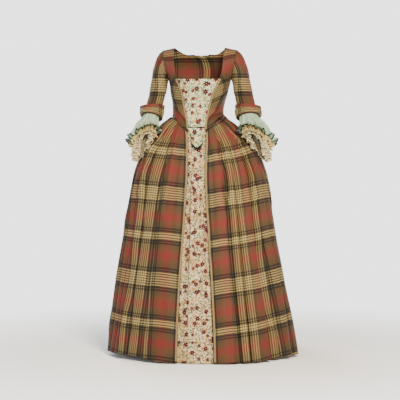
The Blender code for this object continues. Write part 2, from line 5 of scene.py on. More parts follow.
import bmesh
import bpy
import numpy as np
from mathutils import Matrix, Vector


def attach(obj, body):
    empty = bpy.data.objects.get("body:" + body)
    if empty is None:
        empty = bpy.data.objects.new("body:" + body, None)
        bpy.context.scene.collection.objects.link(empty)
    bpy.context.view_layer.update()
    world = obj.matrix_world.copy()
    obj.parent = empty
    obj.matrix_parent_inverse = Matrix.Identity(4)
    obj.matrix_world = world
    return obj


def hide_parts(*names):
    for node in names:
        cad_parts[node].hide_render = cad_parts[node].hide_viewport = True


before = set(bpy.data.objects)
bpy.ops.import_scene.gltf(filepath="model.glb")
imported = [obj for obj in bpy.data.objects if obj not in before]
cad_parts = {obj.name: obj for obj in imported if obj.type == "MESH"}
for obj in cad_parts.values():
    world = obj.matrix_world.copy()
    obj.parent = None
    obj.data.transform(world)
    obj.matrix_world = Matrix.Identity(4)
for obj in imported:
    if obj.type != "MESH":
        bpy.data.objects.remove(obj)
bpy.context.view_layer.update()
print("frame loaded:", len(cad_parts), "nodes")

sides = (("left", -1.0), ("right", 1.0))

# The figure that the cloth hangs on, as ovals from the hem up to the shoulders
figure = {
    "shoulderHeight": 1.43,
    "chestClosesFrom": 1.30,
    "shoulderSlope": 0.22,
    "slopeStartsX": 0.10,
    "roundness": 2.2,
    # height, half width, front depth, back depth, how far it sits towards +X
    "sections": (
        (0.000, 0.417, 0.442, 0.570, 0.018),
        (0.140, 0.398, 0.406, 0.520, 0.015),
        (0.250, 0.381, 0.374, 0.480, 0.012),
        (0.370, 0.362, 0.337, 0.432, 0.009),
        (0.590, 0.325, 0.272, 0.346, 0.005),
        (0.700, 0.310, 0.238, 0.303, 0.002),
        (0.820, 0.290, 0.200, 0.255, 0.000),
        (0.900, 0.265, 0.175, 0.216, 0.000),
        (0.960, 0.240, 0.155, 0.184, 0.000),
        (1.020, 0.202, 0.131, 0.146, -0.003),
        (1.060, 0.170, 0.115, 0.116, -0.006),
        (1.085, 0.138, 0.104, 0.094, -0.007),
        (1.100, 0.122, 0.100, 0.085, -0.008),
        (1.130, 0.119, 0.103, 0.085, -0.008),
        (1.170, 0.124, 0.111, 0.089, -0.006),
        (1.210, 0.133, 0.119, 0.093, -0.003),
        (1.275, 0.146, 0.122, 0.099, 0.000),
        (1.310, 0.164, 0.121, 0.103, 0.000),
        (1.360, 0.186, 0.118, 0.105, 0.000),
        (1.400, 0.201, 0.115, 0.105, 0.000),
        (1.430, 0.211, 0.112, 0.104, 0.000),
    ),
    # height, how far the robe's front edge stands from the middle of the front
    "frontEdge": (
        (0.000, 0.082),
        (0.120, 0.079),
        (0.340, 0.069),
        (0.550, 0.056),
        (0.775, 0.042),
        (0.870, 0.038),
        (0.950, 0.038),
        (1.035, 0.038),
        (1.075, 0.042),
        (1.135, 0.053),
        (1.205, 0.067),
        (1.275, 0.098),
        (1.310, 0.109),
        (1.360, 0.114),
        (1.430, 0.118),
    ),
    "armpit": 1.275,
    "armholeHalfWidth": 0.055,
    "neckline": 1.275,
    "waist": 1.10,
    "waistPoint": 1.035,
    # angle where the waist's point begins to rise, over how many degrees, and its curve
    "waistCurve": (10.0, 52.0, 1.5),
    "waistSeam": 0.0022,
    "seam": 0.0009,
    "hem": 0.002,
    # where the hem is lifted: angle, spread and rise
    "hemLifts": ((-52.0, 26.0, 0.020), (62.0, 14.0, 0.006)),
}


def throughRows(rows, column=1, along=0):
    # A smooth line through a table's rows that never overshoots them
    places = np.array([row[along] for row in rows], float)
    values = np.array([row[column] for row in rows], float)
    steps = np.diff(places)
    slopes = np.diff(values) / steps
    tangents = np.concatenate((slopes[:1], np.zeros(len(slopes) - 1), slopes[-1:]))
    sameWay = slopes[:-1] * slopes[1:] > 0
    total = np.where(sameWay, slopes[:-1] + slopes[1:], 1.0)
    tangents[1:-1] = np.where(sameWay, 2 * slopes[:-1] * slopes[1:] / total, 0.0)

    def read(at):
        at = np.clip(at, places[0], places[-1])
        i = np.clip(np.searchsorted(places, at) - 1, 0, len(steps) - 1)
        t = (at - places[i]) / steps[i]
        risen = values[i] * (1 + 2 * t) * (1 - t) ** 2 + values[i + 1] * t * t * (3 - 2 * t)
        return risen + steps[i] * (tangents[i] * t * (1 - t) ** 2 + tangents[i + 1] * t * t * (t - 1))

    return read


halfWidth, frontDepth, backDepth, shiftX = (throughRows(figure["sections"], i) for i in range(1, 5))
frontEdge = throughRows(figure["frontEdge"])


def ease(t):
    t = np.clip(t, 0.0, 1.0)
    return t * t * (3 - 2 * t)


def chestReach(height):
    return (height - figure["chestClosesFrom"]) / (figure["shoulderHeight"] - figure["chestClosesFrom"])


def depthsAt(height):
    closure = np.sqrt(np.maximum(1.0 - np.maximum(chestReach(height), 0.0) ** 2, 1e-6))
    return frontDepth(height) * closure, backDepth(height) * closure


def signedPower(value, power):
    return np.sign(value) * np.abs(value) ** power


def figurePoint(angle, height):
    # Angle in degrees from the front, positive towards +X
    angle, height = np.broadcast_arrays(np.asarray(angle, float), np.asarray(height, float))
    front, back = depthsAt(height)
    across, along = np.sin(np.radians(angle)), np.cos(np.radians(angle))
    power = 2 / figure["roundness"]
    x = halfWidth(height) * signedPower(across, power)
    y = -np.where(along > 0, front, back) * signedPower(along, power)
    slope = figure["shoulderSlope"] * ease(chestReach(height))
    drop = slope * np.maximum(np.abs(x) - figure["slopeStartsX"], 0.0)
    return np.stack((x + shiftX(height), y, height - drop), axis=-1)


def unit(vectors):
    return vectors / np.linalg.norm(vectors, axis=-1, keepdims=True)


def figureNormal(angle, height):
    near = 0.002
    low, high = height - near, np.minimum(height + near, figure["shoulderHeight"])
    sideways = figurePoint(angle + 0.5, height) - figurePoint(angle - 0.5, height)
    return unit(np.cross(sideways, figurePoint(angle, high) - figurePoint(angle, low)))


def metresPerDegree(angle, height):
    wide = figurePoint(angle + 0.5, height) - figurePoint(angle - 0.5, height)
    return np.linalg.norm(wide, axis=-1)


def offFigure(angle, height, out):
    return figurePoint(angle, height) + np.asarray(out)[..., None] * figureNormal(angle, height)


def angleAtX(x, height):
    share = np.clip(x / halfWidth(height), 0.0, 1.0)
    return np.degrees(np.arcsin(share ** (figure["roundness"] / 2)))


def armholeAngle(height, atBack):
    height = np.minimum(height, figure["shoulderHeight"] - 1e-5)
    middle = (figure["armpit"] + figure["shoulderHeight"]) / 2
    share = (height - middle) / (figure["shoulderHeight"] - middle)
    opening = figure["armholeHalfWidth"] * np.sqrt(np.maximum(1.0 - share * share, 0.0))
    opening = np.where(height > figure["armpit"], opening, 0.0)
    depth = depthsAt(height)[1 if atBack else 0]
    share = np.clip(np.maximum(opening, figure["seam"] / 2) / depth, 0.0, 0.999)
    fromSide = np.degrees(np.arccos(share ** (figure["roundness"] / 2)))
    return 180.0 - fromSide if atBack else fromSide


def waistHeight(angle):
    start, over, power = figure["waistCurve"]
    share = np.clip((np.abs(angle) - start) / over, 0.0, 1.0)
    rise = figure["waist"] - figure["waistPoint"]
    return figure["waistPoint"] + rise * (1 - (1 - share) ** power)


def hemHeight(angle):
    height = figure["hem"]
    for middle, spread, rise in figure["hemLifts"]:
        height = height + rise * np.exp(-(((angle - middle) / spread) ** 2))
    return height


def softNoise(a, b, seed, waves=7):
    # Smooth unevenness between -1 and 1 over two directions, the same each run
    dice = np.random.default_rng(seed)
    total = np.zeros(np.broadcast(a, b).shape)
    for wave in range(waves):
        turn, pace, phase = (dice.uniform(*most) for most in ((0, math.tau), (0.6, 1.7), (0, math.tau)))
        total = total + np.sin(math.tau * pace * (a * math.cos(turn) + b * math.sin(turn)) + phase)
    return total / waves**0.5 / 1.6


def folds(lines, across, up, scale):
    # Soft troughs (negative) and ridges (positive), each from one place on the cloth to another.
    # The scale turns places across and up into metres.
    across, up = across * scale[0], up * scale[1]
    total = np.zeros(np.broadcast(across, up).shape)
    for *places, width, height in lines:
        a0, b0, a1, b1 = (place * scale[i % 2] for i, place in enumerate(places))
        length = math.hypot(a1 - a0, b1 - b0)
        alongIt = ((across - a0) * (a1 - a0) + (up - b0) * (b1 - b0)) / length**2
        offIt = ((across - a0) * (b1 - b0) - (up - b0) * (a1 - a0)) / length
        bend = 0.12 * length * np.sin(math.pi * np.clip(alongIt, 0, 1)) * math.sin(31 * (a0 + b0))
        fade = ease(alongIt / 0.3) * ease((1 - alongIt) / 0.3)
        total = total + height * fade * np.exp(-(((offIt - bend) / width) ** 2))
    return total


def arcAcross(points):
    # How far each point is along its row from the first column
    steps = np.linalg.norm(np.diff(points, axis=1), axis=-1)
    return np.concatenate((np.zeros((len(points), 1)), np.cumsum(steps, axis=1)), axis=1)


def clothPiece(name, sheet, thickness, material, slot, node=None, closed=False):
    # A wall under a grid of points, with its own UV map in metres, in the place of a solid's node
    points, across, up = sheet
    rows, columns = points.shape[:2]
    across, up = np.broadcast_to(across, (rows, columns)), np.broadcast_to(up, (rows, columns))
    centre = points.reshape(-1, 3).mean(axis=0) if closed else np.zeros(3)
    face = np.cross(points[:-1, 1:] - points[:-1, :-1], points[1:, :-1] - points[:-1, :-1])
    away = (points[:-1, :-1] - centre) * (1, 1, 0)
    if (face * away).sum() < 0:
        points, across, up = points[:, ::-1], across[:, ::-1], up[:, ::-1]
    bm = bmesh.new()
    bmesh.ops.create_grid(bm, x_segments=columns - 1, y_segments=rows - 1, size=0.5)
    mesh = bpy.data.meshes.new(name)
    bm.to_mesh(mesh)
    bm.free()
    square = np.empty(len(mesh.vertices) * 3, np.float32)
    mesh.vertices.foreach_get("co", square)
    square = square.reshape(-1, 3)
    column = np.rint((square[:, 0] + 0.5) * (columns - 1)).astype(int)
    row = np.rint((square[:, 1] + 0.5) * (rows - 1)).astype(int)
    placed = points - np.array((0.0, 0.0, figure["shoulderHeight"]))
    mesh.vertices.foreach_set("co", placed[row, column].astype(np.float32).ravel())
    corner = np.empty(len(mesh.loops), np.int32)
    mesh.loops.foreach_get("vertex_index", corner)
    weave = mesh.uv_layers.get("UVMap") or mesh.uv_layers.new(name="UVMap")
    uv = np.stack((across[row, column], up[row, column]), axis=-1)[corner]
    weave.data.foreach_set("uv", uv.astype(np.float32).ravel())
    if closed:
        bm = bmesh.new()
        bm.from_mesh(mesh)
        bmesh.ops.remove_doubles(bm, verts=bm.verts, dist=1e-5)
        bm.to_mesh(mesh)
        bm.free()
    mesh.shade_smooth()
    mesh.materials.append(material)
    piece = bpy.data.objects.new(name, mesh)
    bpy.context.scene.collection.objects.link(piece)
    wall = piece.modifiers.new("wall", "SOLIDIFY")
    wall.thickness = thickness
    wall.offset = -1.0
    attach(piece, "root")
    if node:
        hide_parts(node)


# Materials


def colour(hexCode):
    parts = [int(hexCode[i : i + 2], 16) / 255 for i in (1, 3, 5)]
    return (*[c / 12.92 if c <= 0.04045 else ((c + 0.055) / 1.055) ** 2.4 for c in parts], 1.0)


def addNode(tree, kind, inputs=None, **settings):
    node = tree.nodes.new("ShaderNode" + kind)
    for name, value in settings.items():
        setattr(node, name, value)
    for socket, value in (inputs or {}).items():
        if isinstance(value, bpy.types.NodeSocket):
            tree.links.new(value, node.inputs[socket])
        else:
            node.inputs[socket].default_value = value
    return node


def maths(tree, operation, first, second=0.0, third=0.0):
    return addNode(tree, "Math", {0: first, 1: second, 2: third}, operation=operation).outputs[0]


def vectorMaths(tree, operation, first, second):
    socket = "Scale" if operation == "SCALE" else 1
    return addNode(tree, "VectorMath", {0: first, socket: second}, operation=operation).outputs[0]


def mixed(tree, mask, under, over):
    return addNode(tree, "Mix", {0: mask, 6: under, 7: over}, data_type="RGBA").outputs[2]


def remapped(tree, value, low, high, newLow, newHigh):
    return addNode(tree, "MapRange", {0: value, 1: low, 2: high, 3: newLow, 4: newHigh}).outputs[0]


def noise(tree, place, scale, detail, distortion=0.0, output=0):
    inputs = {"Vector": place, "Scale": scale, "Detail": detail, "Distortion": distortion}
    return addNode(tree, "TexNoise", inputs).outputs[output]


def uvPlace(tree):
    return addNode(tree, "UVMap", uv_map="UVMap").outputs[0]


def partsOf(tree, place):
    return addNode(tree, "SeparateXYZ", {0: place}).outputs


def wandering(tree, place, scale, detail, reach=0.004):
    # The place moved a little to and fro, so that what is drawn on the cloth isn't ruled
    moved = noise(tree, place, scale, detail, output="Color")
    moved = vectorMaths(tree, "SUBTRACT", moved, (0.5, 0.5, 0.5))
    return vectorMaths(tree, "ADD", place, vectorMaths(tree, "SCALE", moved, reach))


def ramped(tree, value, stops, interpolation="CONSTANT"):
    node = addNode(tree, "ValToRGB", {0: value})
    ramp = node.color_ramp
    ramp.interpolation = interpolation
    while len(ramp.elements) > 1:
        ramp.elements.remove(ramp.elements[-1])
    for i, (place, shade) in enumerate(stops):
        element = ramp.elements[0] if i == 0 else ramp.elements.new(place)
        element.position = place
        element.color = shade
    return node.outputs


def oneOf(tree, die, hexCodes):
    # One of some colours, by a die's throw from 0 to 1
    return ramped(tree, die, [(i / len(hexCodes), colour(code)) for i, code in enumerate(hexCodes)])[0]


def newMaterial(name, roughness, sheen, sheenRoughness=0.4, plain=None):
    material = bpy.data.materials.new(name)
    material.use_nodes = True
    shader = material.node_tree.nodes["Principled BSDF"]
    values = {"Roughness": roughness, "IOR": 1.5, "Specular IOR Level": 0.2}
    values.update({"Sheen Weight": sheen, "Sheen Roughness": sheenRoughness})
    for socket, value in values.items():
        shader.inputs[socket].default_value = value
    if plain:
        shader.inputs["Base Color"].default_value = colour(plain)
    return material, material.node_tree


def finishMaterial(material, picture, height, strength, distance):
    tree = material.node_tree
    shader = tree.nodes["Principled BSDF"]
    tree.links.new(picture, shader.inputs["Base Color"])
    bump = addNode(tree, "Bump", {"Height": height, "Strength": strength, "Distance": distance})
    tree.links.new(bump.outputs[0], shader.inputs["Normal"])
    return material


# Woven tartan of silk and wool: soft-edged red bands, thin dark pairs and groups of fine cream lines in
# warp and weft alike, in a twill whose threads are drawn 1.6 mm apart so that they show.
tartan = {
    "halfRepeat": 0.1925,
    "ground": "#402b14",
    "olive": "#2d2613",
    "red": "#591a15",
    "cream": "#897c4d",
    # painted shade: the bodice fronts get a copy of the tartan with darker, duller cream lines, as if in half
    # shade
    "shadedBodiceCream": "#6f6440",
    "dark": "#050607",
    "redBand": (0.080, 0.100, 0.115, 0.134),
    # shares of the half repeat where the ground turns olive
    "oliveAt": (0.27, 0.84),
    # line's start and end from the middle of the large cream group, and its colour
    "lines": (
        (0.0030, 0.0078, "cream"),
        (0.0138, 0.0186, "cream"),
        (0.0246, 0.0292, "cream"),
        (0.0330, 0.0395, "dark"),
        (0.0450, 0.0515, "dark"),
        (0.1555, 0.1615, "dark"),
        (0.1668, 0.1728, "dark"),
        (0.1786, 0.1830, "cream"),
        (0.1884, 0.1925, "cream"),
    ),
    "thread": 0.0016,
    # how much of the weft shows, from one diagonal of the twill to the next
    "twill": (0.32, 0.86),
    # what a dark yarn leaves of the light of the yarns that it crosses
    "dimmed": 0.45,
    # noise cells a metre across and along the slubs, and of the slow changes of shade
    "slubs": (420.0, 38.0, 1.0),
    "shades": 5.0,
    "shadeRange": (0.78, 1.22),
}


def makeTartan(name, cream):
    material, tree = newMaterial(name, 0.72, 0.06)
    lineColours = {"cream": cream, "dark": tartan["dark"]}
    uv = uvPlace(tree)
    cloth = partsOf(tree, wandering(tree, uv, 9.0, 2.0))
    half = tartan["halfRepeat"]
    redFrom, redFull, redTo, redGone = (place / half for place in tartan["redBand"])
    ground, olive, red = (colour(tartan[key]) for key in ("ground", "olive", "red"))
    firstOlive, lastOlive = tartan["oliveAt"]
    groundStops = [(0.0, ground), (firstOlive, olive), (redFrom, ground), (redFull, red)]
    groundStops += [(redTo, red), (redGone, ground), (lastOlive, olive), (1.0, ground)]
    clear, full = (0.0, 0.0, 0.0, 0.0), (1.0, 1.0, 1.0, 1.0)
    dimmed = (*(tartan["dimmed"],) * 3, 1.0)
    lineStops, darkStops = [(0.0, clear)], [(0.0, full)]
    for start, end, key in tartan["lines"]:
        lineStops += [(start / half, colour(lineColours[key])), (min(end / half, 1.0), clear)]
        if key == "dark":
            darkStops += [(start / half, dimmed), (end / half, full)]
    yarns, deepened = [], []
    for axis in (0, 1):
        inRepeat = maths(tree, "DIVIDE", maths(tree, "PINGPONG", cloth[axis], half), half)
        base = ramped(tree, inRepeat, groundStops, "LINEAR")[0]
        lines = ramped(tree, inRepeat, lineStops)
        yarns.append(mixed(tree, lines["Alpha"], base, lines[0]))
        deepened.append(ramped(tree, inRepeat, darkStops)[0])
    # The twill lets warp and weft show by turns along its diagonals
    diagonal = maths(tree, "PINGPONG", maths(tree, "ADD", cloth[0], cloth[1]), tartan["thread"])
    diagonal = remapped(tree, diagonal, 0.0, tartan["thread"], *tartan["twill"])
    shaded = mixed(tree, diagonal, *yarns)
    for crossing in deepened:
        shaded = vectorMaths(tree, "MULTIPLY", shaded, crossing)
    # Slubs along the yarns and slow changes of shade over a width of cloth
    stretched = addNode(tree, "Mapping", {0: uv, "Scale": tartan["slubs"]}).outputs[0]
    slubs = noise(tree, stretched, 1.0, 2.0)
    uneven = maths(tree, "ADD", slubs, noise(tree, uv, tartan["shades"], 3.0))
    uneven = remapped(tree, uneven, 0.5, 1.5, *tartan["shadeRange"])
    shaded = vectorMaths(tree, "SCALE", shaded, uneven)
    return finishMaterial(material, shaded, maths(tree, "ADD", diagonal, slubs), 0.35, 0.0006)


# Printed cotton with sprigs: flowers of petals with hearts, leaves and curling stems on a pale ground
sprigs = {
    # cell and flower size, petals, share of cells filled, colours of the petals and of the heart
    "flowers": (
        (0.0410, 0.0115, 6.0, 0.60, ("#5c0a1e", "#430a1c", "#6e0f1c"), "#26020b"),
        (0.0300, 0.0086, 5.0, 0.34, ("#6d2430", "#3f0d20", "#7a4a36"), "#2c0410"),
        (0.0190, 0.0050, 5.0, 0.42, ("#38081a", "#5e1422", "#4a2a0a"), "#9c7c40"),
        (0.0125, 0.0024, 4.0, 0.40, ("#520f12", "#16301f", "#5e3a0c"), "#38081a"),
    ),
    "heartShare": 0.60,
    "middleShare": 0.13,
    "middle": "#9c7650",
    "notch": 0.2,
    "leafCell": 0.0125,
    "leafSize": 0.0064,
    "leafSlimness": 0.42,
    "stem": "#6d4a1c",
    "stemWidth": 0.065,
    # thread of the plain weave that gives a faint grain
    "thread": 0.0006,
}


def makeSprigged(name, groundHex, shadeHex, leafHexes, density, leafDensity, stemStrength, motif):
    material, tree = newMaterial(name, 0.7, 0.05)
    uv = vectorMaths(tree, "SCALE", uvPlace(tree), 1 / motif)
    drawn = wandering(tree, uv, 60.0, 1.0)
    shades = remapped(tree, noise(tree, uv, 16.0, 3.0), 0.4, 0.65, 0.0, 1.0)
    picture = mixed(tree, shades, colour(groundHex), colour(shadeHex))

    def product(first, second):
        return maths(tree, "MULTIPLY", first, second)

    def below(value, limit):
        return maths(tree, "LESS_THAN", value, limit)

    def cells(size, shift):
        # The place from the middle of its cell, and three dice thrown for the cell
        inputs = {0: drawn, "Location": (shift, shift * 0.7, 0.0), "Scale": (1 / size,) * 3}
        moved = addNode(tree, "Mapping", inputs).outputs[0]
        inputs = {"Vector": moved, "Scale": 1.0, "Randomness": 0.75}
        spots = addNode(tree, "TexVoronoi", inputs, voronoi_dimensions="2D").outputs
        place = partsOf(tree, vectorMaths(tree, "SUBTRACT", moved, spots["Position"]))
        return place, addNode(tree, "SeparateColor", {0: spots["Color"]}).outputs

    # Curling stems run along the level lines of a slow noise
    level = maths(tree, "PINGPONG", product(noise(tree, drawn, 17.0, 1.0, 0.6), 9.0), 0.5)
    inPatch = maths(tree, "GREATER_THAN", noise(tree, uv, 23.0, 0.0), 0.47)
    onStem = product(product(below(level, sprigs["stemWidth"]), inPatch), stemStrength)
    picture = mixed(tree, onStem, picture, colour(sprigs["stem"]))

    # Leaves: slim ovals turned every way
    place, dice = cells(sprigs["leafCell"], 3.1)
    turn = product(dice[0], math.tau)
    c, s = maths(tree, "COSINE", turn), maths(tree, "SINE", turn)
    longWay = maths(tree, "ADD", product(place[0], c), product(place[1], s))
    slimWay = maths(tree, "SUBTRACT", product(place[1], c), product(place[0], s))
    reach = sprigs["leafSize"] / sprigs["leafCell"]
    squares = []
    for way, most in ((longWay, reach), (slimWay, reach * sprigs["leafSlimness"])):
        share = maths(tree, "ABSOLUTE", maths(tree, "DIVIDE", way, most))
        squares.append(maths(tree, "POWER", share, 2.0))
    onLeaf = product(below(maths(tree, "ADD", *squares), 1.0), below(dice[1], leafDensity))
    picture = mixed(tree, onLeaf, picture, oneOf(tree, dice[2], leafHexes))

    for number, layer in enumerate(reversed(sprigs["flowers"])):
        cell, size, petals, filled, petalHexes, heart = layer
        place, dice = cells(cell, 1.3 + 2.7 * number)
        squares = [maths(tree, "POWER", place[axis], 2.0) for axis in (0, 1)]
        reach = maths(tree, "SQRT", maths(tree, "ADD", *squares))
        turn = maths(tree, "ARCTAN2", place[1], place[0])
        phase = product(dice[1], math.tau)
        lobes = maths(tree, "COSINE", maths(tree, "MULTIPLY_ADD", turn, petals, phase))
        share, notch = size / cell, sprigs["notch"]
        edge = maths(tree, "MULTIPLY_ADD", lobes, share * notch, share * (1 - notch))
        chosen = below(dice[0], filled * density)
        rings = (
            (edge, oneOf(tree, dice[2], petalHexes)),
            (share * sprigs["heartShare"], colour(heart)),
            (share * sprigs["middleShare"], colour(sprigs["middle"])),
        )
        for limit, shade in rings:
            picture = mixed(tree, product(below(reach, limit), chosen), picture, shade)
    threads = [maths(tree, "PINGPONG", part, sprigs["thread"]) for part in partsOf(tree, uv)[:2]]
    grain = product(maths(tree, "ADD", *threads), 800.0)
    return finishMaterial(material, picture, grain, 0.25, 0.0004)


# Silk taffeta, crisp and shiny, with a pinked edge in dark green. V is the distance from its edge.
pinkedSilk = {
    "silk": "#8c9b81",
    "shade": "#667d64",
    "edge": "#06150e",
    "edgeWidth": 0.0060,
    "rib": 0.0007,
}


def makePinkedSilk(name):
    material, tree = newMaterial(name, 0.38, 0.08, 0.3)
    uv = uvPlace(tree)
    fromEdge = partsOf(tree, uv)[1]
    patches = noise(tree, uv, 30.0, 2.0)
    silk = mixed(tree, patches, colour(pinkedSilk["silk"]), colour(pinkedSilk["shade"]))
    ragged = remapped(tree, noise(tree, uv, 420.0, 0.0), 0.3, 0.7, 0.4, 1.5)
    width = maths(tree, "MULTIPLY", ragged, pinkedSilk["edgeWidth"])
    onEdge = maths(tree, "LESS_THAN", fromEdge, width)
    picture = mixed(tree, onEdge, silk, colour(pinkedSilk["edge"]))
    ribs = maths(tree, "MULTIPLY", maths(tree, "PINGPONG", fromEdge, pinkedSilk["rib"]), 1400.0)
    return finishMaterial(material, picture, ribs, 0.2, 0.0003)


# Bobbin lace: dense scrolls and flower shapes over a net whose holes are painted dark, as the shade seen
# through them, with a corded scalloped edge
lace = {
    "mesh": 0.0030,
    "cord": (0.004, 0.006),
    # thread and light colours, the net's colour, which is painted shade in its holes, and the size of a
    # scroll
    "gold": ("#75612f", "#ad9a63", "#33240c", 0.010),
    "pale": ("#7d6d47", "#b3a580", "#443516", 0.009),
}


def makeLace(name, threadHex, lightHex, holeShadeHex, motif):
    material, tree = newMaterial(name, 0.66, 0.05)
    uv = uvPlace(tree)
    inputs = {"Vector": uv, "Scale": 1 / lace["mesh"], "Randomness": 0.4}
    settings = {"voronoi_dimensions": "2D", "feature": "DISTANCE_TO_EDGE"}
    net = addNode(tree, "TexVoronoi", inputs, **settings).outputs[0]
    thread = remapped(tree, net, 0.10, 0.26, 1.0, 0.0)
    scroll = maths(tree, "MULTIPLY", noise(tree, uv, 1 / (motif * 1.3), 1.0, 1.4), 6.0)
    scroll = remapped(tree, maths(tree, "PINGPONG", scroll, 0.5), 0.20, 0.30, 1.0, 0.0)
    edge = remapped(tree, partsOf(tree, uv)[1], *lace["cord"], 1.0, 0.0)
    solid = maths(tree, "MAXIMUM", scroll, edge)
    raised = maths(tree, "MAXIMUM", thread, solid)
    # the net's holes take a dark colour: painted shade seen through the lace
    ground = mixed(tree, raised, colour(holeShadeHex), colour(threadHex))
    picture = mixed(tree, solid, ground, colour(lightHex))
    return finishMaterial(material, picture, maths(tree, "ADD", raised, solid), 0.7, 0.0012)


# Narrow silk braid, plaited in chevrons 4 mm apart, along the robe's front edges
braid = {
    "width": 0.0085,
    "thickness": 0.0012,
    "crown": 0.0006,
    "inset": 0.0006,
    "skirtGap": 0.0022,
    "bodiceGap": 0.0011,
    "dark": "#4f3e1c",
    "pale": "#867549",
    "chevron": 0.005,
    "plait": 0.002,
}


def makeBraid(name):
    material, tree = newMaterial(name, 0.6, 0.2)
    parts = partsOf(tree, uvPlace(tree))
    chevron = maths(tree, "ADD", maths(tree, "PINGPONG", parts[0], braid["chevron"]), parts[1])
    chevron = maths(tree, "PINGPONG", chevron, braid["plait"])
    chevron = remapped(tree, chevron, 0.0, braid["plait"], 0.0, 1.0)
    picture = mixed(tree, chevron, colour(braid["dark"]), colour(braid["pale"]))
    return finishMaterial(material, picture, chevron, 0.6, 0.0008)


# Ground, its shade, leaves, then how dense the flowers and leaves are, how strong the stems and how large
cottons = {
    "petticoat": ("#b09e7e", "#9c845a", ("#2b5540", "#48592a", "#22504c", "#735c28"), 1.3, 0.85, 0.95, 1.1),
    "stomacher": ("#b5a480", "#98a07a", ("#56755a", "#3d6350", "#7a6834", "#315a45"), 1.2, 0.85, 0.6, 1.25),
}
wovenTartan = makeTartan("wovenTartan", tartan["cream"])
# A shaded copy of the tartan: painted shade in its cream lines, for the bodice fronts
shadedBodiceTartan = makeTartan("shadedBodiceTartan", tartan["shadedBodiceCream"])
petticoatCotton = makeSprigged("petticoatCotton", *cottons["petticoat"])
stomacherCotton = makeSprigged("stomacherCotton", *cottons["stomacher"])
mintTaffeta = makePinkedSilk("mintTaffeta")
goldLace = makeLace("goldLace", *lace["gold"])
paleLace = makeLace("paleLace", *lace["pale"])
creamBraid = makeBraid("creamBraid")
# Dark mercerised cord, near black: where it binds the tab's bottom, its darkness is painted shadow under the
# tab
darkCordAndShadow = newMaterial("darkCordAndShadow", 0.9, 0.0, plain="#070604")[0]
print("materials made")

# The robe's skirt: a flat front, then knife pleats whose folds face outwards
skirt = {
    "thickness": 0.002,
    "rows": 150,
    "flatColumns": 26,
    "flatEnds": {"left": 31.5, "right": 22.0},
    "flatDepth": 0.011,
    "overhang": 0.0046,
    "undercut": 0.0038,
    # a gap between pleats of more degrees than the first gets columns at these shares
    "gap": (0.8, (0.3, 0.55, 0.8)),
    # how far pleats sway in degrees, how uneven their depth is, and the cloth's fine ripple
    "sway": 0.25,
    "uneven": 0.16,
    "ripple": 0.0011,
    "foldStrength": 1.8,
    # degrees around to metres across
    "foldScale": (1 / 160, 1.0),
    # start and end in degrees, depth, and the tartan's place across at the pleat's fold
    "frontPleats": {
        "left": (
            (33.5, 45.5, 0.013, 0.030),
            (47.5, 53.0, 0.028, 0.012),
            (54.3, 59.3, 0.021, 0.115),
            (60.8, 66.2, 0.026, 0.150),
            (68.0, 76.0, 0.031, 0.190),
            (78.0, 88.5, 0.019, 0.060),
        ),
        "right": (
            (26.0, 31.0, 0.023, 0.010),
            (32.0, 37.5, 0.025, 0.020),
            (38.0, 46.5, 0.019, 0.120),
            (51.0, 56.3, 0.017, 0.045),
            (58.0, 64.5, 0.031, 0.100),
            (66.6, 76.0, 0.030, 0.110),
            (77.6, 88.5, 0.019, 0.200),
        ),
    },
    "sidePleats": (
        (91.5, 102.0, 0.017, 0.110),
        (103.5, 114.5, 0.020, 0.215),
        (116.0, 126.5, 0.016, 0.030),
    ),
    # dark hollows between pleats: middle and half width in degrees, and how deep they go in
    "valleys": {
        "left": (
            (46.5, 1.9, 0.034),
            (53.7, 1.5, 0.020),
            (60.0, 1.6, 0.022),
            (67.1, 2.0, 0.032),
            (77.0, 1.5, 0.018),
        ),
        "right": (
            (31.5, 1.4, 0.024),
            (37.8, 1.3, 0.022),
            (48.8, 2.8, 0.038),
            (57.2, 1.5, 0.024),
            (65.5, 1.9, 0.036),
            (76.8, 1.5, 0.020),
        ),
    },
    "deepest": 0.031,
    "hemRise": 0.24,
    "pocketSeam": 90.0,
    "backSeam": 128.0,
    "seamAngle": 0.06,
    # height, how much of a pleat's depth there is
    "growth": ((0.0, 1.35), (0.45, 1.15), (0.80, 1.0), (0.98, 0.62), (1.10, 0.30)),
    # where the large cream group of the weft lies, how much the weft slants, and its lift at the side
    "weft": {"left": (0.742, 0.07, 0.004), "right": (0.714, 0.11, 0.030)},
    "edgeGrain": 0.033,
}
pleatGrowth = throughRows(skirt["growth"])

# A knife pleat from where it comes out to its fold: the share across it, and the share of its depth
pleatRise = (
    (0.0, 0.0),
    (0.04, 0.12),
    (0.10, 0.30),
    (0.18, 0.48),
    (0.30, 0.68),
    (0.45, 0.84),
    (0.60, 0.94),
    (0.74, 0.99),
    (0.86, 1.0),
    (0.95, 0.985),
)
# Its fold: overhang as a share of the most, and the share of its depth
pleatFold = (
    (0.35, 0.95),
    (0.80, 0.86),
    (1.0, 0.72),
    (0.95, 0.55),
    (0.55, 0.36),
    (0.0, 0.18),
    (-0.6, 0.06),
    (-1.0, 0.0),
)


def skirtHeights(angle, share):
    bottom, top = hemHeight(angle), waistHeight(angle) - figure["waistSeam"] / 2
    return bottom + (top - bottom) * share


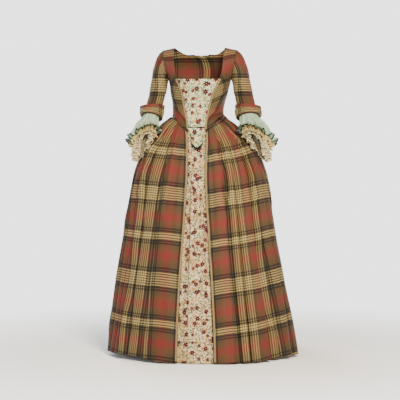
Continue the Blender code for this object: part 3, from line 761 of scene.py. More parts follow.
def skirtPanel(side, sign, pleats, firstAngle, lastAngle, flatEnd=None):
    # The panel's columns, each with its angle, its step sideways, its depth and the pleat that it is on
    columns = []
    if flatEnd is not None:
        for place in np.linspace(0, 1, skirt["flatColumns"]):
            depth = skirt["flatDepth"] * float(ease(place / 0.7))
            columns.append((flatEnd, 0.0, depth, 0, place))
        for step, share in pleatFold:
            columns.append((flatEnd, step, skirt["flatDepth"] * share, 0, 1.0))
    else:
        columns.append((firstAngle, 0.0, 0.0, 1, 1.0))
    foldColumns = {}
    widest, shares = skirt["gap"]
    for number, (start, end, depth, grain) in enumerate(pleats, start=1):
        before = columns[-1][0]
        if start - before > widest:
            for between in shares:
                columns.append((before + between * (start - before), 0.0, 0.0, number, 1.0))
        for across, share in pleatRise:
            columns.append((start + across * (end - start), 0.0, depth * share, number, 1.0))
        for step, share in pleatFold:
            if step == 1.0:
                foldColumns[number] = (len(columns), grain)
            columns.append((end, step, depth * share, number, 1.0))
    columns.append((lastAngle, 0.0, 0.0, len(pleats), 1.0))

    angle, step, depth, pleat, place = (np.array(values, float) for values in zip(*columns))
    share = np.linspace(0, 1, skirt["rows"])[:, None]
    rise = skirtHeights(sign * angle, share)
    inset = (place < 1) | ((pleat == 0) & (step == 0))
    edge = angleAtX(frontEdge(rise), rise)
    turned = np.where(inset, edge + (angle - edge) * place, angle)
    rise = skirtHeights(sign * turned, share)
    growth = pleatGrowth(rise)
    reach = np.where(step > 0, skirt["overhang"], skirt["undercut"]) * step * np.minimum(growth, 1.0)
    swaying = skirt["sway"] * softNoise(rise * 1.3, pleat * 0.37, 11 + int(sign))
    swaying = np.where(pleat > 0, swaying * ease((1.08 - rise) / 0.2), 0.0)
    moved = turned + reach / metresPerDegree(turned, rise) + swaying
    moved[:, -1] = lastAngle
    if flatEnd is None:
        moved[:, 0] = firstAngle
    uneven = 1 + skirt["uneven"] * softNoise(rise * 1.1, pleat * 0.53, 23 + int(sign))
    out = depth * growth * uneven
    ripple = skirt["ripple"] * softNoise(rise * 3.1, moved / 11, 31)
    out = out + ripple * ease(rise / 0.05) * (depth > 0)
    out = out + skirt["foldStrength"] * folds(skirtFolds[side], moved, rise, skirt["foldScale"])
    for middle, halfWide, deep in skirt["valleys"][side] if flatEnd is not None else ():
        hollow = np.exp(-(((turned - middle) / halfWide) ** 2)) * (depth == 0) * (pleat > 0)
        out = out - deep * hollow * ease((1.0 - rise) / 0.2)
    out = np.maximum(out, -skirt["deepest"])
    points = offFigure(sign * moved, rise, out)
    # a hollow's hem would dip below the others, so it is drawn up
    points[..., 2] += skirt["hemRise"] * np.maximum(-out, 0.0) * ease((0.3 - rise) / 0.3)

    arc = arcAcross(points)
    across = skirt["edgeGrain"] + arc
    for number, (fold, grain) in foldColumns.items():
        on = pleat == number
        across[:, on] = grain + arc[:, on] - arc[:, fold : fold + 1]
    centre, slant, lift = skirt["weft"][side]
    slantOver = 0.10
    lifted = slant * np.minimum(arc, slantOver) + lift * ease((moved - 20) / 55)
    if flatEnd is None:
        lifted = slant * slantOver + lift
    return points, across, rise - centre - lifted


# Soft folds on the skirt, as start and end (angle, height), width and height
skirtFolds = {
    "left": (
        (12.0, 1.04, 14.4, 0.46, 0.014, 0.003),
        (20.0, 1.06, 24.8, 0.54, 0.01, -0.0035),
        (27.0, 1.07, 30.6, 0.6, 0.009, 0.0041),
        (35.0, 1.08, 39.8, 0.58, 0.008, -0.0054),
        (41.0, 1.09, 45.8, 0.6, 0.007, 0.0046),
        (50.0, 1.09, 54.8, 0.62, 0.007, -0.0051),
        (58.0, 1.09, 62.8, 0.6, 0.008, 0.0049),
        (70.0, 1.09, 72.4, 0.62, 0.008, -0.0054),
        (80.0, 1.09, 82.4, 0.61, 0.008, 0.0049),
        (17.0, 0.5, 15.0, 0.05, 0.02, 0.0028),
        (25.0, 0.62, 24.0, 0.02, 0.016, -0.0046),
        (40.0, 0.70, 38.5, 0.01, 0.014, -0.0050),
        (59.0, 0.66, 60.5, 0.01, 0.015, -0.0052),
        (70.0, 0.74, 69.0, 0.01, 0.014, 0.0046),
        (83.0, 0.70, 84.0, 0.01, 0.014, -0.0050),
    ),
    "right": (
        (11.0, 1.05, 12.2, 0.52, 0.012, -0.0027),
        (17.0, 1.06, 18.8, 0.56, 0.009, 0.0046),
        (23.5, 1.08, 25.3, 0.6, 0.006, -0.0059),
        (29.0, 1.08, 31.4, 0.62, 0.006, 0.0054),
        (35.0, 1.09, 38.6, 0.61, 0.006, -0.0059),
        (42.0, 1.09, 46.8, 0.58, 0.007, 0.0054),
        (50.0, 1.09, 56.0, 0.6, 0.007, -0.0059),
        (60.0, 1.09, 64.8, 0.6, 0.008, 0.0054),
        (68.0, 1.09, 71.6, 0.62, 0.007, -0.0054),
        (78.0, 1.09, 80.4, 0.6, 0.008, 0.0051),
        (13.0, 0.55, 12.0, 0.04, 0.016, 0.0026),
        (44.0, 0.72, 46.0, 0.04, 0.018, -0.0054),
        (63.0, 0.70, 61.0, 0.01, 0.016, -0.0052),
        (67.5, 0.60, 68.5, 0.01, 0.012, 0.0044),
        (80.0, 0.72, 81.0, 0.01, 0.015, -0.0056),
    ),
}

fronts = {}
for side, sign in sides:
    end = skirt["pocketSeam"] - skirt["seamAngle"]
    sheet = skirtPanel(side, sign, skirt["frontPleats"][side], 0.0, end, skirt["flatEnds"][side])
    fronts["skirt", side] = sheet[0]
    look = (skirt["thickness"], wovenTartan, "plaid")
    clothPiece("skirtFront" + side.title(), sheet, *look, f"skirt_front_{side}")
    start = skirt["pocketSeam"] + skirt["seamAngle"]
    sheet = skirtPanel(side, sign, skirt["sidePleats"], start, skirt["backSeam"])
    clothPiece("skirtSide" + side.title(), sheet, *look, f"skirt_side_{side}")
print("skirt made")

# The sack back: two double box pleats that fall free from the back of the neck
sackBack = {
    "thickness": 0.002,
    "rows": 190,
    # across from -1 to 1: outer fold, inner fold, inner fold, outer fold of one box pleat
    "pleat": (-0.86, -0.70, -0.20, -0.04),
    "outerDepth": 0.023,
    "innerDepth": 0.019,
    "overhang": 0.010,
    "hidden": 0.096,
    "growth": ((0.0, 1.45), (0.5, 1.4), (0.95, 1.2), (1.15, 0.9), (1.30, 0.55), (1.39, 0.34)),
    # height, half angle, how far it stands off the back, how far it lies over the bodice
    "fall": (
        (0.002, 51.9, 0.000, 0.0000),
        (0.500, 51.9, 0.018, 0.0000),
        (0.850, 51.9, 0.044, 0.0000),
        (0.980, 51.9, 0.064, 0.0020),
        (1.070, 51.9, 0.074, 0.0050),
        (1.150, 53.0, 0.062, 0.0055),
        (1.260, 48.0, 0.022, 0.0060),
        (1.320, 45.0, 0.006, 0.0060),
        (1.388, 41.0, 0.000, 0.0048),
    ),
    # how far the pleats sway in degrees, how uneven their depth is, and the cloth's ripple
    "sway": 0.35,
    "uneven": 0.10,
    "ripple": 0.0030,
    "weftCentre": 0.722,
}
sackGrowth = throughRows(sackBack["growth"])
sackAngle, sackOff, sackOver = (throughRows(sackBack["fall"], i) for i in (1, 2, 3))


def boxColumns():
    # Place across, step away from the pleat's middle, depth and face, for the half of the back at -X
    outer, inner = sackBack["outerDepth"], sackBack["innerDepth"]
    first, second, third, fourth = sackBack["pleat"]
    columns = [(place, 0.0, 0.0, 0) for place in (-1.0, -0.95, -0.91)]
    fold = [(step, share, share > 0.3) for step, share in pleatFold]
    columns += [(first, -step, outer * share, int(over)) for step, share, over in reversed(fold)]
    columns += [(place, 0.0, outer, 1) for place in (-0.82, -0.78, -0.74)]
    columns += [(second, -step, outer + inner * share, 1 + int(over)) for step, share, over in reversed(fold)]
    columns += [(place, 0.0, outer + inner, 2) for place in np.linspace(-0.665, -0.235, 15)]
    columns += [(third, step, outer + inner * share, 3 - int(over)) for step, share, over in fold]
    columns += [(place, 0.0, outer, 3) for place in (-0.16, -0.12, -0.08)]
    columns += [(fourth, step, outer * share, 4 - int(over)) for step, share, over in fold]
    return columns


half = boxColumns()
mirrored = [(-place, -step, depth, 8 - face) for place, step, depth, face in reversed(half)]
place, step, depth, face = (np.array(values, float) for values in zip(*half, (0.0, 0.0, 0.0, 4), *mirrored))
height = np.linspace(figure["hem"], sackBack["fall"][-1][0], sackBack["rows"])[:, None]
growth = sackGrowth(height)
reach = sackBack["overhang"] * step * np.minimum(growth, 1.0)
angle = 180.0 - place * sackAngle(height)
angle = angle - reach / metresPerDegree(angle, height)
swaying = sackBack["sway"] * softNoise(height * 1.2, place * 1.3, 41) * ease((1.25 - height) / 0.3)
angle = angle + swaying * (1 - np.abs(place) ** 6)
uneven = 1 + sackBack["uneven"] * softNoise(height * 1.1, place, 43)
out = sackOver(height) + depth * growth * uneven
ripple = sackBack["ripple"] * softNoise(height * 2.0, place * 2.2, 47)
out = out + ripple * (1 - place**8) * ease((1.3 - height) / 0.4)
back = offFigure(angle, height, out)
back[..., 1] += sackOff(height) * (1 - place * place) ** 0.8
arc = arcAcross(back)
# The warp runs down the middle of each face, and each fold hides a strip of cloth
across = np.zeros_like(arc)
for number in range(9):
    on = np.flatnonzero(face == number)
    centre = on[np.argmin(np.abs(place[on] - (place[on[0]] + place[on[-1]]) / 2))]
    across[:, on] = arc[:, on] - arc[:, centre : centre + 1] + sackBack["hidden"] * (number - 4)
sheet = (back, across, height - sackBack["weftCentre"])
clothPiece("sackBack", sheet, sackBack["thickness"], wovenTartan, "plaid", "sack_back")
print("sack back made")

# The fitted bodice, from the stomacher's edge round to the sack
bodice = {
    "thickness": 0.002,
    "columns": 44,
    "backColumns": 81,
    # rows below and above the armpit
    "rows": (56, 66),
    "backNeck": 1.392,
    "backNeckRise": 0.038,
    "weftCentre": 1.208,
    "weftSlant": {"left": 0.12, "right": 0.42},
    # height, the tartan's place across at the front edge
    "edgeGrain": (
        (1.03, 0.062),
        (1.09, 0.020),
        (1.14, -0.026),
        (1.22, -0.034),
        (1.28, 0.030),
        (1.33, 0.082),
        (1.43, 0.080),
    ),
    # metres across a front, for its folds
    "foldScale": (0.1, 1.0),
    "ripple": 0.0009,
}
edgeGrain = throughRows(bodice["edgeGrain"])
# Folds on the bodice fronts: share across and height where they start and end, width and height
bodiceFolds = {
    "left": (
        (0.95, 1.125, 0.10, 1.062, 0.0045, -0.0055),
        (0.90, 1.150, 0.30, 1.125, 0.0070, 0.0020),
        (0.80, 1.240, 0.25, 1.190, 0.0080, -0.0016),
        (0.95, 1.210, 0.35, 1.150, 0.0080, 0.0018),
        (0.85, 1.300, 0.35, 1.250, 0.0080, -0.0018),
    ),
    "right": (
        (1.00, 1.126, 0.00, 1.090, 0.0040, -0.0120),
        (0.95, 1.112, 0.06, 1.074, 0.0080, 0.0070),
        (0.95, 1.155, 0.15, 1.125, 0.0060, -0.0026),
        (0.90, 1.180, 0.10, 1.150, 0.0055, 0.0022),
        (0.90, 1.235, 0.12, 1.175, 0.0045, -0.0026),
        (0.90, 1.255, 0.15, 1.195, 0.0045, 0.0024),
        (0.92, 1.275, 0.18, 1.215, 0.0045, -0.0026),
        (0.80, 1.310, 0.30, 1.270, 0.0060, 0.0018),
    ),
}


def bodiceRise(bottom, top):
    # Rows from the waist to the armpit, then close together where the armhole's oval turns
    bottom, top = np.broadcast_arrays(bottom, top)
    below, above = bodice["rows"]
    low = bottom + (figure["armpit"] - bottom) * np.linspace(0, 1, below)[:-1, None]
    oval = (1 - np.cos(np.linspace(0, math.pi, above)))[:, None] / 2
    return np.concatenate((low, figure["armpit"] + (top - figure["armpit"]) * oval))


def bodiceFront(side, sign):
    place = np.linspace(0, 1, bodice["columns"])[None, :]
    bottom = np.full(place.shape, figure["waist"])
    # the waist's height depends on the angle, and the angle on that height
    for attempt in range(6):
        inner, outer = angleAtX(frontEdge(bottom), bottom), armholeAngle(bottom, False)
        bottom = waistHeight(inner + (outer - inner) * place)
    bottom = bottom + figure["seam"] / 2
    height = bodiceRise(bottom, figure["shoulderHeight"])
    share = (height - bottom) / (figure["shoulderHeight"] - bottom)
    inner, outer = angleAtX(frontEdge(height), height), armholeAngle(height, False)
    angle = sign * (inner + (outer - inner) * place)
    points = figurePoint(angle, height)
    held = ease(place / 0.12) * ease((1 - place) / 0.08) * ease(share / 0.02) * ease((1 - share) / 0.1)
    raised = folds(bodiceFolds[side], place, height, bodice["foldScale"])
    raised = (raised + bodice["ripple"] * softNoise(place * 1.6, height * 9, 53)) * held
    points = points + raised[..., None] * figureNormal(angle, height)
    points[..., 1] = np.minimum(points[..., 1], -figure["seam"] / 2)
    arc = arcAcross(points)
    slanted = height - bodice["weftSlant"][side] * arc
    return points, edgeGrain(height) + arc, slanted - bodice["weftCentre"]


for side, sign in sides:
    sheet = bodiceFront(side, sign)
    fronts["bodice", side] = sheet[0]
    node = f"bodice_front_{side}"
    # the fronts take the copy of the tartan with painted shade in its cream lines
    clothPiece("bodiceFront" + side.title(), sheet, bodice["thickness"], shadedBodiceTartan, "plaid", node)

place = np.linspace(-1, 1, bodice["backColumns"])[None, :]
shoulder = figure["shoulderHeight"]
neckAngle = angleAtX(frontEdge(shoulder), shoulder)
edge = armholeAngle(np.array(shoulder), True)
neckShare = (180.0 - neckAngle - edge) / (180.0 - edge)
towardsNeck = np.minimum(np.abs(place) / (1.0 - neckShare), 1.0)
top = bodice["backNeck"] + bodice["backNeckRise"] * towardsNeck**3
bottom = figure["waist"] + figure["seam"] / 2
height = bodiceRise(bottom, top)
angle = 180.0 - place * (180.0 - armholeAngle(height, True))
back = figurePoint(angle, height)
back[..., 1] = np.maximum(back[..., 1], figure["seam"] / 2)
sheet = (back, arcAcross(back), height - bodice["weftCentre"])
clothPiece("bodiceBack", sheet, bodice["thickness"], wovenTartan, "plaid", "bodice_back")
print("bodice made")

# The stomacher fills the front and ends in a rounded tab over the petticoat
stomacher = {
    "thickness": 0.0018,
    "columns": 49,
    "rows": 110,
    # rows lie closer together towards the tab
    "rowPower": 1.15,
    "depth": 0.0040,
    "tabHeight": 0.957,
    "tabHalfWidth": 0.027,
    "tabTop": 1.055,
    "tuck": 0.007,
    "tabLift": 0.010,
    # share of the tab where its end begins to round, and the round's power
    "tabRound": (0.62, 2.6),
    "tabLeast": 0.010,
    # the groove that the cord across it presses: height, spread and depth
    "groove": (1.054, 0.0019, 0.0004),
    "ripple": 0.0008,
}
place = np.linspace(-1, 1, stomacher["columns"])[None, :]
share = (np.linspace(0, 1, stomacher["rows"]) ** stomacher["rowPower"])[:, None]
height = stomacher["tabHeight"] + (figure["neckline"] - stomacher["tabHeight"]) * share
down = (stomacher["tabTop"] - height) / (stomacher["tabTop"] - stomacher["tabHeight"])
down = np.clip(down, 0, 1)
wide = frontEdge(np.maximum(height, stomacher["tabTop"])) + stomacher["tuck"]
narrowed = 1 - ease(np.minimum(down * 3, 1.0))
wide = stomacher["tabHalfWidth"] + (wide - stomacher["tabHalfWidth"]) * narrowed
start, power = stomacher["tabRound"]
rounded = np.maximum((down - start) / (1 - start), 0.0) ** power
wide = np.maximum(wide * np.sqrt(np.maximum(1.0 - rounded, 0.0)), stomacher["tabLeast"])
x = wide * place
angle = np.sign(x) * angleAtX(np.abs(x), height)
grooveAt, spread, deep = stomacher["groove"]
lift = -stomacher["depth"] + stomacher["tabLift"] * ease((down - 0.35) / 0.65)
lift = lift - deep * np.exp(-(((height - grooveAt) / spread) ** 2))
lift = lift + stomacher["ripple"] * softNoise(place * 0.8, height * 8, 61) * (1 - down)
front = offFigure(angle, height, lift)
front[..., 2] -= 0.004 * (1 - place * place) * (1.0 - share) ** 8
sheet = (front, x, height)
clothPiece("stomacherPanel", sheet, stomacher["thickness"], stomacherCotton, "floral", "stomacher")

# A dark cord is sewn across the stomacher and binds its tab; at the tab's bottom the binding swells into a
# thick near-black crescent, painted shadow under the lifted tab
seams = {
    "radius": 0.0018,
    # the binding's radius at the tab's bottom, thickened as painted shadow under the tab
    "shadowCrescentRadius": 0.0042,
    # beside the tab the cord is this share as thick, up from a height and over a length
    "thin": (0.6, 0.982, 0.016),
    "acrossAt": 1.054,
    "stands": 0.0034,
    # rows of the stomacher's sides that the binding follows, and columns that the seam leaves out
    "sideRows": 30,
    "leftOut": 4,
    "wall": 0.0003,
}


def cordAlong(name, path, radius):
    # A tube of eight sides along a path of points
    ahead = unit(np.gradient(path, axis=0))
    side = unit(np.cross(ahead, np.array((0.0, -1.0, 0.05))))
    over = np.cross(side, ahead)
    turn = np.linspace(0, math.tau, 9)[None, :, None]
    tube = path[:, None] + radius * (np.cos(turn) * side[:, None] + np.sin(turn) * over[:, None])
    clothPiece(name, (tube, turn[..., 0], tube[..., 2]), seams["wall"], darkCordAndShadow, "trim", closed=True)


rows = seams["sideRows"]
bottomEdge = np.concatenate((front[:rows, 0][::-1], front[0], front[:rows, -1]))
bottomEdge[:, 1] -= seams["stands"]
share, below, over = seams["thin"]
thin = seams["radius"] * share
# the binding thickens towards the tab's bottom into a crescent of painted shadow
crescentOfShadow = ease((below - bottomEdge[:, 2]) / over)[:, None, None]
cordAlong("tabBindingAndShadow", bottomEdge, thin + (seams["shadowCrescentRadius"] - thin) * crescentOfShadow)
row = int(np.argmin(np.abs(height[:, 0] - seams["acrossAt"])))
line = front[row, seams["leftOut"] : -seams["leftOut"]].copy()
line[:, 1] -= seams["stands"]
cordAlong("stomacherSeam", line, seams["radius"])

# The petticoat hangs under the robe and shows between its front edges
petticoat = {
    "thickness": 0.0018,
    "rows": {"front": 104, "back": 50},
    # columns in view within so many degrees, on either side of them, and behind
    "inView": 13.0,
    "columns": (110, 32, 260),
    "depth": 0.0068,
    "deeperAtHem": 0.0035,
    "belowWaist": 0.012,
    # middle of each soft fold and its half width in degrees, and how far it goes in
    "folds": (
        (-7.6, 3.2, 0.016),
        (-4.9, 0.9, 0.006),
        (-1.9, 1.2, 0.005),
        (2.2, 1.6, 0.005),
        (6.6, 1.3, 0.007),
        (10.0, 1.5, 0.010),
        (-12.0, 2.0, 0.012),
        (-19.0, 3.0, 0.012),
        (17.0, 3.0, 0.012),
    ),
    # it hangs further in where the robe's pleats cover it, and less so behind
    "covered": (24.0, 12.0, 0.038),
    "lessBehind": 0.008,
    # it ends above the robe's hem, and is drawn up as much as it is set back
    "hemGap": 0.003,
    "hemRise": 0.26,
    # the back is gathered into this many soft folds, so deep
    "gathers": 24,
    "gatherDepth": 0.009,
}


def petticoatHalf(angles, rows):
    angle = angles[None, :]
    share = np.linspace(0, 1, rows)[:, None]
    start, over, covered = petticoat["covered"]
    covered = covered - petticoat["lessBehind"] * ease((np.abs(angle) - 80) / 12)
    covered = covered * ease((np.abs(angle) - start) / over)
    around = np.radians(angle)
    gathered = 0.5 + 0.5 * np.cos(around * 2 * petticoat["gathers"] + np.sin(around * 9))
    gathered = petticoat["gatherDepth"] * gathered * ease((np.abs(angle) - 90) / 5)
    top = figure["waist"] - petticoat["belowWaist"]
    bottom = hemHeight(angle) + petticoat["hemGap"] + petticoat["hemRise"] * (covered + gathered)
    height = bottom + (top - bottom) * share
    out = -petticoat["depth"] - petticoat["deeperAtHem"] * ease((1 - share) / 0.25)
    for middle, spread, deep in petticoat["folds"]:
        drift = middle * (0.82 + 0.28 * (1 - height / top)) + 0.25 * np.sin(6 * height + middle)
        out = out - deep * np.exp(-(((angle - drift) / spread) ** 2)) * ease((0.99 - height) / 0.35)
    out = out - (covered + gathered) * ease((1.02 - height) / 0.2)
    points = offFigure(angle, height, out)
    arc = arcAcross(points)
    return points, arc - arc[:, len(angles) // 2][:, None], height


within = petticoat["inView"]
viewed, hidden, behind = petticoat["columns"]
beside = np.linspace(within, 90.0 - skirt["seamAngle"], hidden)[1:]
frontAngles = np.concatenate((-beside[::-1], np.linspace(-within, within, viewed), beside))
backAngles = np.linspace(90.0 + skirt["seamAngle"], 270.0 - skirt["seamAngle"], behind)
for part, angles in (("front", frontAngles), ("back", backAngles)):
    sheet = petticoatHalf(angles, petticoat["rows"][part])
    look = (petticoat["thickness"], petticoatCotton, "floral")
    clothPiece("petticoat" + part.title(), sheet, *look, f"petticoat_{part}")
print("stomacher and petticoat made")


def braidAlong(points, gap):
    # Seven columns on the sheet's own edge, moved out and crowned
    edge, across = points[:, 0], unit(points[:, 1] - points[:, 0])
    upward = unit(np.gradient(edge, axis=0))
    normal = np.cross(across, upward)
    normal = normal * np.where(normal[:, 1:2] > 0, -1.0, 1.0)
    shares = np.linspace(0, 1, 7)
    lifted = gap + braid["thickness"] + braid["crown"] * (1 - (2 * shares - 1) ** 2)
    offset = braid["inset"] + braid["width"] * shares
    strip = edge[:, None] + across[:, None] * offset[:, None] + normal[:, None] * lifted[:, None]
    steps = np.linalg.norm(np.diff(edge, axis=0), axis=-1)
    return strip, offset, np.concatenate(([0.0], np.cumsum(steps)))[:, None]


for side, sign in sides:
    neck = int(np.searchsorted(fronts["bodice", side][:, 0, 2], figure["neckline"] + 0.001))
    for part, last in (("skirt", -1), ("bodice", neck)):
        strip = braidAlong(fronts[part, side][1:last], braid[part + "Gap"])
        name = "braid" + part.title() + side.title()
        clothPiece(name, strip, braid["thickness"], creamBraid, "trim", f"braid_{part}_{side}")
print("braid made")

# Sleeves to the elbow, for an arm at +X
sleeve = {
    "thickness": 0.002,
    "rows": 96,
    "columns": 97,
    # outer x and z, inner x and z, middle y, half depth, tilt of the front side in degrees
    "rings": (
        (0.191, 1.401, 0.1495, 1.270, 0.000, 0.0570, 0.0),
        (0.207, 1.372, 0.1510, 1.261, -0.002, 0.0575, 0.0),
        (0.218, 1.333, 0.1525, 1.249, -0.006, 0.0565, 0.0),
        (0.225, 1.288, 0.1540, 1.232, -0.014, 0.0545, 2.0),
        (0.231, 1.240, 0.1570, 1.209, -0.030, 0.0520, 5.0),
        (0.237, 1.190, 0.1640, 1.180, -0.053, 0.0500, 11.0),
        (0.247, 1.142, 0.1700, 1.138, -0.078, 0.0480, 18.0),
        (0.259, 1.102, 0.1770, 1.092, -0.104, 0.0470, 25.0),
    ),
    "elbowShift": {"left": (0.0, 0.0), "right": (0.024, 0.010)},
    "armholeGap": 0.0011,
    "allowanceIn": 0.0034,
    "allowance": 0.008,
    "weftCentre": 1.250,
    "grainAtOuter": {"left": 0.112, "right": 0.135},
    # metres for a degree around and for a ring along, for its folds
    "foldScale": (1 / 1200, 0.045),
    "ripple": 0.0012,
}
# Folds on a sleeve: turn and ring where they start and end, width and height
sleeveFolds = {
    "left": (
        (150.0, 1.0, 75.0, 5.2, 0.0060, -0.0042),
        (165.0, 2.0, 100.0, 6.4, 0.0060, 0.0036),
        (185.0, 2.6, 128.0, 6.8, 0.0055, -0.0040),
        (60.0, 4.2, 110.0, 7.0, 0.0060, 0.0026),
        (30.0, 5.0, 75.0, 7.0, 0.0065, -0.0024),
        (20.0, 0.4, 45.0, 2.6, 0.0090, 0.0024),
        (105.0, 0.6, 95.0, 3.0, 0.0060, -0.0026),
        (130.0, 0.5, 140.0, 2.4, 0.0060, 0.0026),
        (-60.0, 4.6, -20.0, 6.6, 0.0070, -0.0028),
        (-85.0, 3.2, -40.0, 5.6, 0.0070, 0.0026),
    ),
    "right": (
        (160.0, 1.4, 60.0, 6.6, 0.0055, -0.0044),
        (140.0, 1.2, 90.0, 4.6, 0.0060, 0.0034),
        (175.0, 3.4, 95.0, 7.0, 0.0060, 0.0036),
        (190.0, 4.2, 120.0, 7.0, 0.0055, -0.0036),
        (15.0, 3.6, 50.0, 7.0, 0.0070, 0.0024),
        (100.0, 0.4, 80.0, 2.2, 0.0070, -0.0028),
        (60.0, 0.2, 50.0, 2.4, 0.0080, 0.0022),
        (-50.0, 4.2, -15.0, 6.8, 0.0070, -0.0028),
        (-90.0, 3.6, -45.0, 5.6, 0.0070, 0.0026),
    ),
}
ringCurves = [throughRows([(i, row[c]) for i, row in enumerate(sleeve["rings"])]) for c in range(7)]
lastRing = len(sleeve["rings"]) - 1


def sleeveRing(side, at):
    outerShift, innerShift = sleeve["elbowShift"][side]
    outerX, outerZ, innerX, innerZ, middleY, halfDepth, tilt = (curve(at) for curve in ringCurves)
    share = (np.clip(at, 0, lastRing) / lastRing) ** 1.2
    outerX, innerX = outerX + outerShift * share, innerX + innerShift * share
    return armRing(outerX, outerZ, innerX, innerZ, middleY, halfDepth, tilt)


def armRing(outerX, outerZ, innerX, innerZ, middleY, halfDepth, tilt):
    outer = np.stack(np.broadcast_arrays(outerX, middleY, outerZ), axis=-1)
    inner = np.stack(np.broadcast_arrays(innerX, middleY, innerZ), axis=-1)
    lean = np.radians(tilt)
    forward = (0.0, -halfDepth * np.cos(lean), halfDepth * np.sin(lean))
    forward = np.stack(np.broadcast_arrays(*forward), axis=-1)
    return (outer + inner) / 2, (outer - inner) / 2, forward


def ringPoint(ring, turn, grow=0.0):
    # Turn is 0 at the outer side of the arm and 90 at its front
    middle, outward, forward = ring
    grow = np.asarray(grow, float)
    reach = 1.0 + grow / np.linalg.norm(outward, axis=-1)
    depth = 1.0 + grow / np.linalg.norm(forward, axis=-1)
    turn = np.radians(turn)
    outward = (reach * np.cos(turn))[..., None] * outward
    return middle + outward + (depth * np.sin(turn))[..., None] * forward


def armholePoint(turn):
    middle = (figure["armpit"] + figure["shoulderHeight"]) / 2
    height = middle + (figure["shoulderHeight"] - middle) * np.cos(np.radians(turn)) * 0.9999
    front, back = armholeAngle(height, False), armholeAngle(height, True)
    angle = np.where(np.sin(np.radians(turn)) < 0, back, front)
    spot = figurePoint(angle, height)
    spot[..., 0] += sleeve["armholeGap"]
    spot[..., 1] += 0.0004 * np.sin(np.radians(turn))
    return spot


def mirrorTo(points, sign):
    return points * np.array((sign, 1.0, 1.0))


def sleevePoints(side):
    turn = np.linspace(-110, 250, sleeve["columns"])[None, :]
    at = np.linspace(-1, lastRing, sleeve["rows"])[:, None]
    ring = sleeveRing(side, np.maximum(at, 0.0))
    points = ringPoint(ring, turn)
    joined = np.clip(at + 1, 0, 1)[..., None]
    points = armholePoint(turn) * (1 - joined) + points * joined
    ending = ease((lastRing - at) / 0.5)
    raised = folds(sleeveFolds[side], turn, at, sleeve["foldScale"]) * ease((at + 1) / 1.2) * ending
    ripple = sleeve["ripple"] * softNoise(turn / 120, at * 0.5, 71)
    raised = raised + ripple * ease((at + 1) / 1.5) * ending
    raised[:, 0] = raised[:, -1] = (raised[:, 0] + raised[:, -1]) / 2
    outward = unit(points - points.mean(axis=1, keepdims=True))
    points = points + raised[..., None] * outward
    # The seam's allowance turns in behind the bodice's edge
    inward = points[:1].mean(axis=1, keepdims=True) - points[:1]
    inward = unit(inward * np.array((0.0, 1.0, 1.0)))
    turned = points[:1] + sleeve["allowanceIn"] * inward
    behind = turned - np.array((sleeve["allowance"], 0.0, 0.0))
    return np.concatenate((behind, turned, points)), turn


for side, sign in sides:
    points, turn = sleevePoints(side)
    arc = arcAcross(points)
    outermost = int(np.argmin(np.abs(turn[0])))
    across = sleeve["grainAtOuter"][side] - (arc - arc[:, outermost : outermost + 1])
    sheet = (mirrorTo(points, sign), across, points[..., 2] - sleeve["weftCentre"])
    look = (sleeve["thickness"], wovenTartan, "plaid")
    clothPiece("sleeve" + side.title(), sheet, *look, f"sleeve_{side}", closed=True)
print("sleeves made")

# The cuffs are turned back round the sleeves' ends
cuff = {
    "thickness": 0.002,
    "columns": 97,
    # rows down the outside, and back up inside
    "rows": (34, 8),
    # its upper edge, as a ring of the sleeve
    "top": (0.274, 1.147, 0.1570, 1.154, -0.074, 0.0620, 9.0),
    "flare": 0.012,
    "edgeLift": 0.006,
    "tuckAt": 0.34,
    "tuckDepth": 0.0022,
    "tuckSpread": 0.05,
    "swell": 0.0014,
    "ripple": 0.0016,
    "grainStart": 0.30,
    # height as a share from the top edge, the tartan's place up the cloth
    "weft": ((0.0, 0.124), (0.30, 0.100), (0.36, 0.030), (1.0, -0.020), (2.0, -0.045)),
}
cuffWeft = throughRows(cuff["weft"])


def cuffPoints(side):
    outerShift, innerShift = sleeve["elbowShift"][side]
    outerX, outerZ, innerX, *others = (np.array(value) for value in cuff["top"])
    top = armRing(outerX + 0.7 * outerShift, outerZ, innerX + innerShift, *others)
    end = sleeveRing(side, np.array(float(lastRing)))
    axis = unit(np.cross(end[1], end[2]))
    axis = axis * (-1 if axis[2] > 0 else 1)
    turn = np.linspace(-110, 250, cuff["columns"])[None, :]
    down, back = cuff["rows"]
    row = np.concatenate((np.linspace(0, 1, down), np.linspace(1, 2, back)[1:]))[:, None]
    low = ringPoint(end, turn, cuff["flare"]) - cuff["edgeLift"] * axis
    inside = ringPoint(end, turn, figure["seam"] + 0.0009) - 0.0005 * axis
    upper = ringPoint(top, turn)
    main, under = np.clip(row, 0, 1)[..., None], np.clip(row - 1, 0, 1)[..., None]
    points = (upper * (1 - main) + low * main) * (1 - under) + inside * under
    raised = -cuff["tuckDepth"] * np.exp(-(((row - cuff["tuckAt"]) / cuff["tuckSpread"]) ** 2))
    below = np.clip((row - cuff["tuckAt"]) / (1 - cuff["tuckAt"]), 0, 1)
    raised = raised + cuff["swell"] * np.sin(math.pi * below)
    raised = raised + cuff["ripple"] * softNoise(turn / 90, row * 1.3, 83) * (row < 1)
    raised = raised * ease((1.15 - row) / 0.3)
    raised[:, 0] = raised[:, -1] = (raised[:, 0] + raised[:, -1]) / 2
    points = points + raised[..., None] * unit(points - points.mean(axis=1, keepdims=True))
    return points, arcAcross(points), cuffWeft(row) + 0.004 * softNoise(turn / 200, row, 85)


for side, sign in sides:
    points, across, up = cuffPoints(side)
    sheet = (mirrorTo(points, sign), cuff["grainStart"] - across, up)
    look = (cuff["thickness"], wovenTartan, "plaid")
    clothPiece("cuff" + side.title(), sheet, *look, f"cuff_{side}", closed=True)
print("cuffs made")

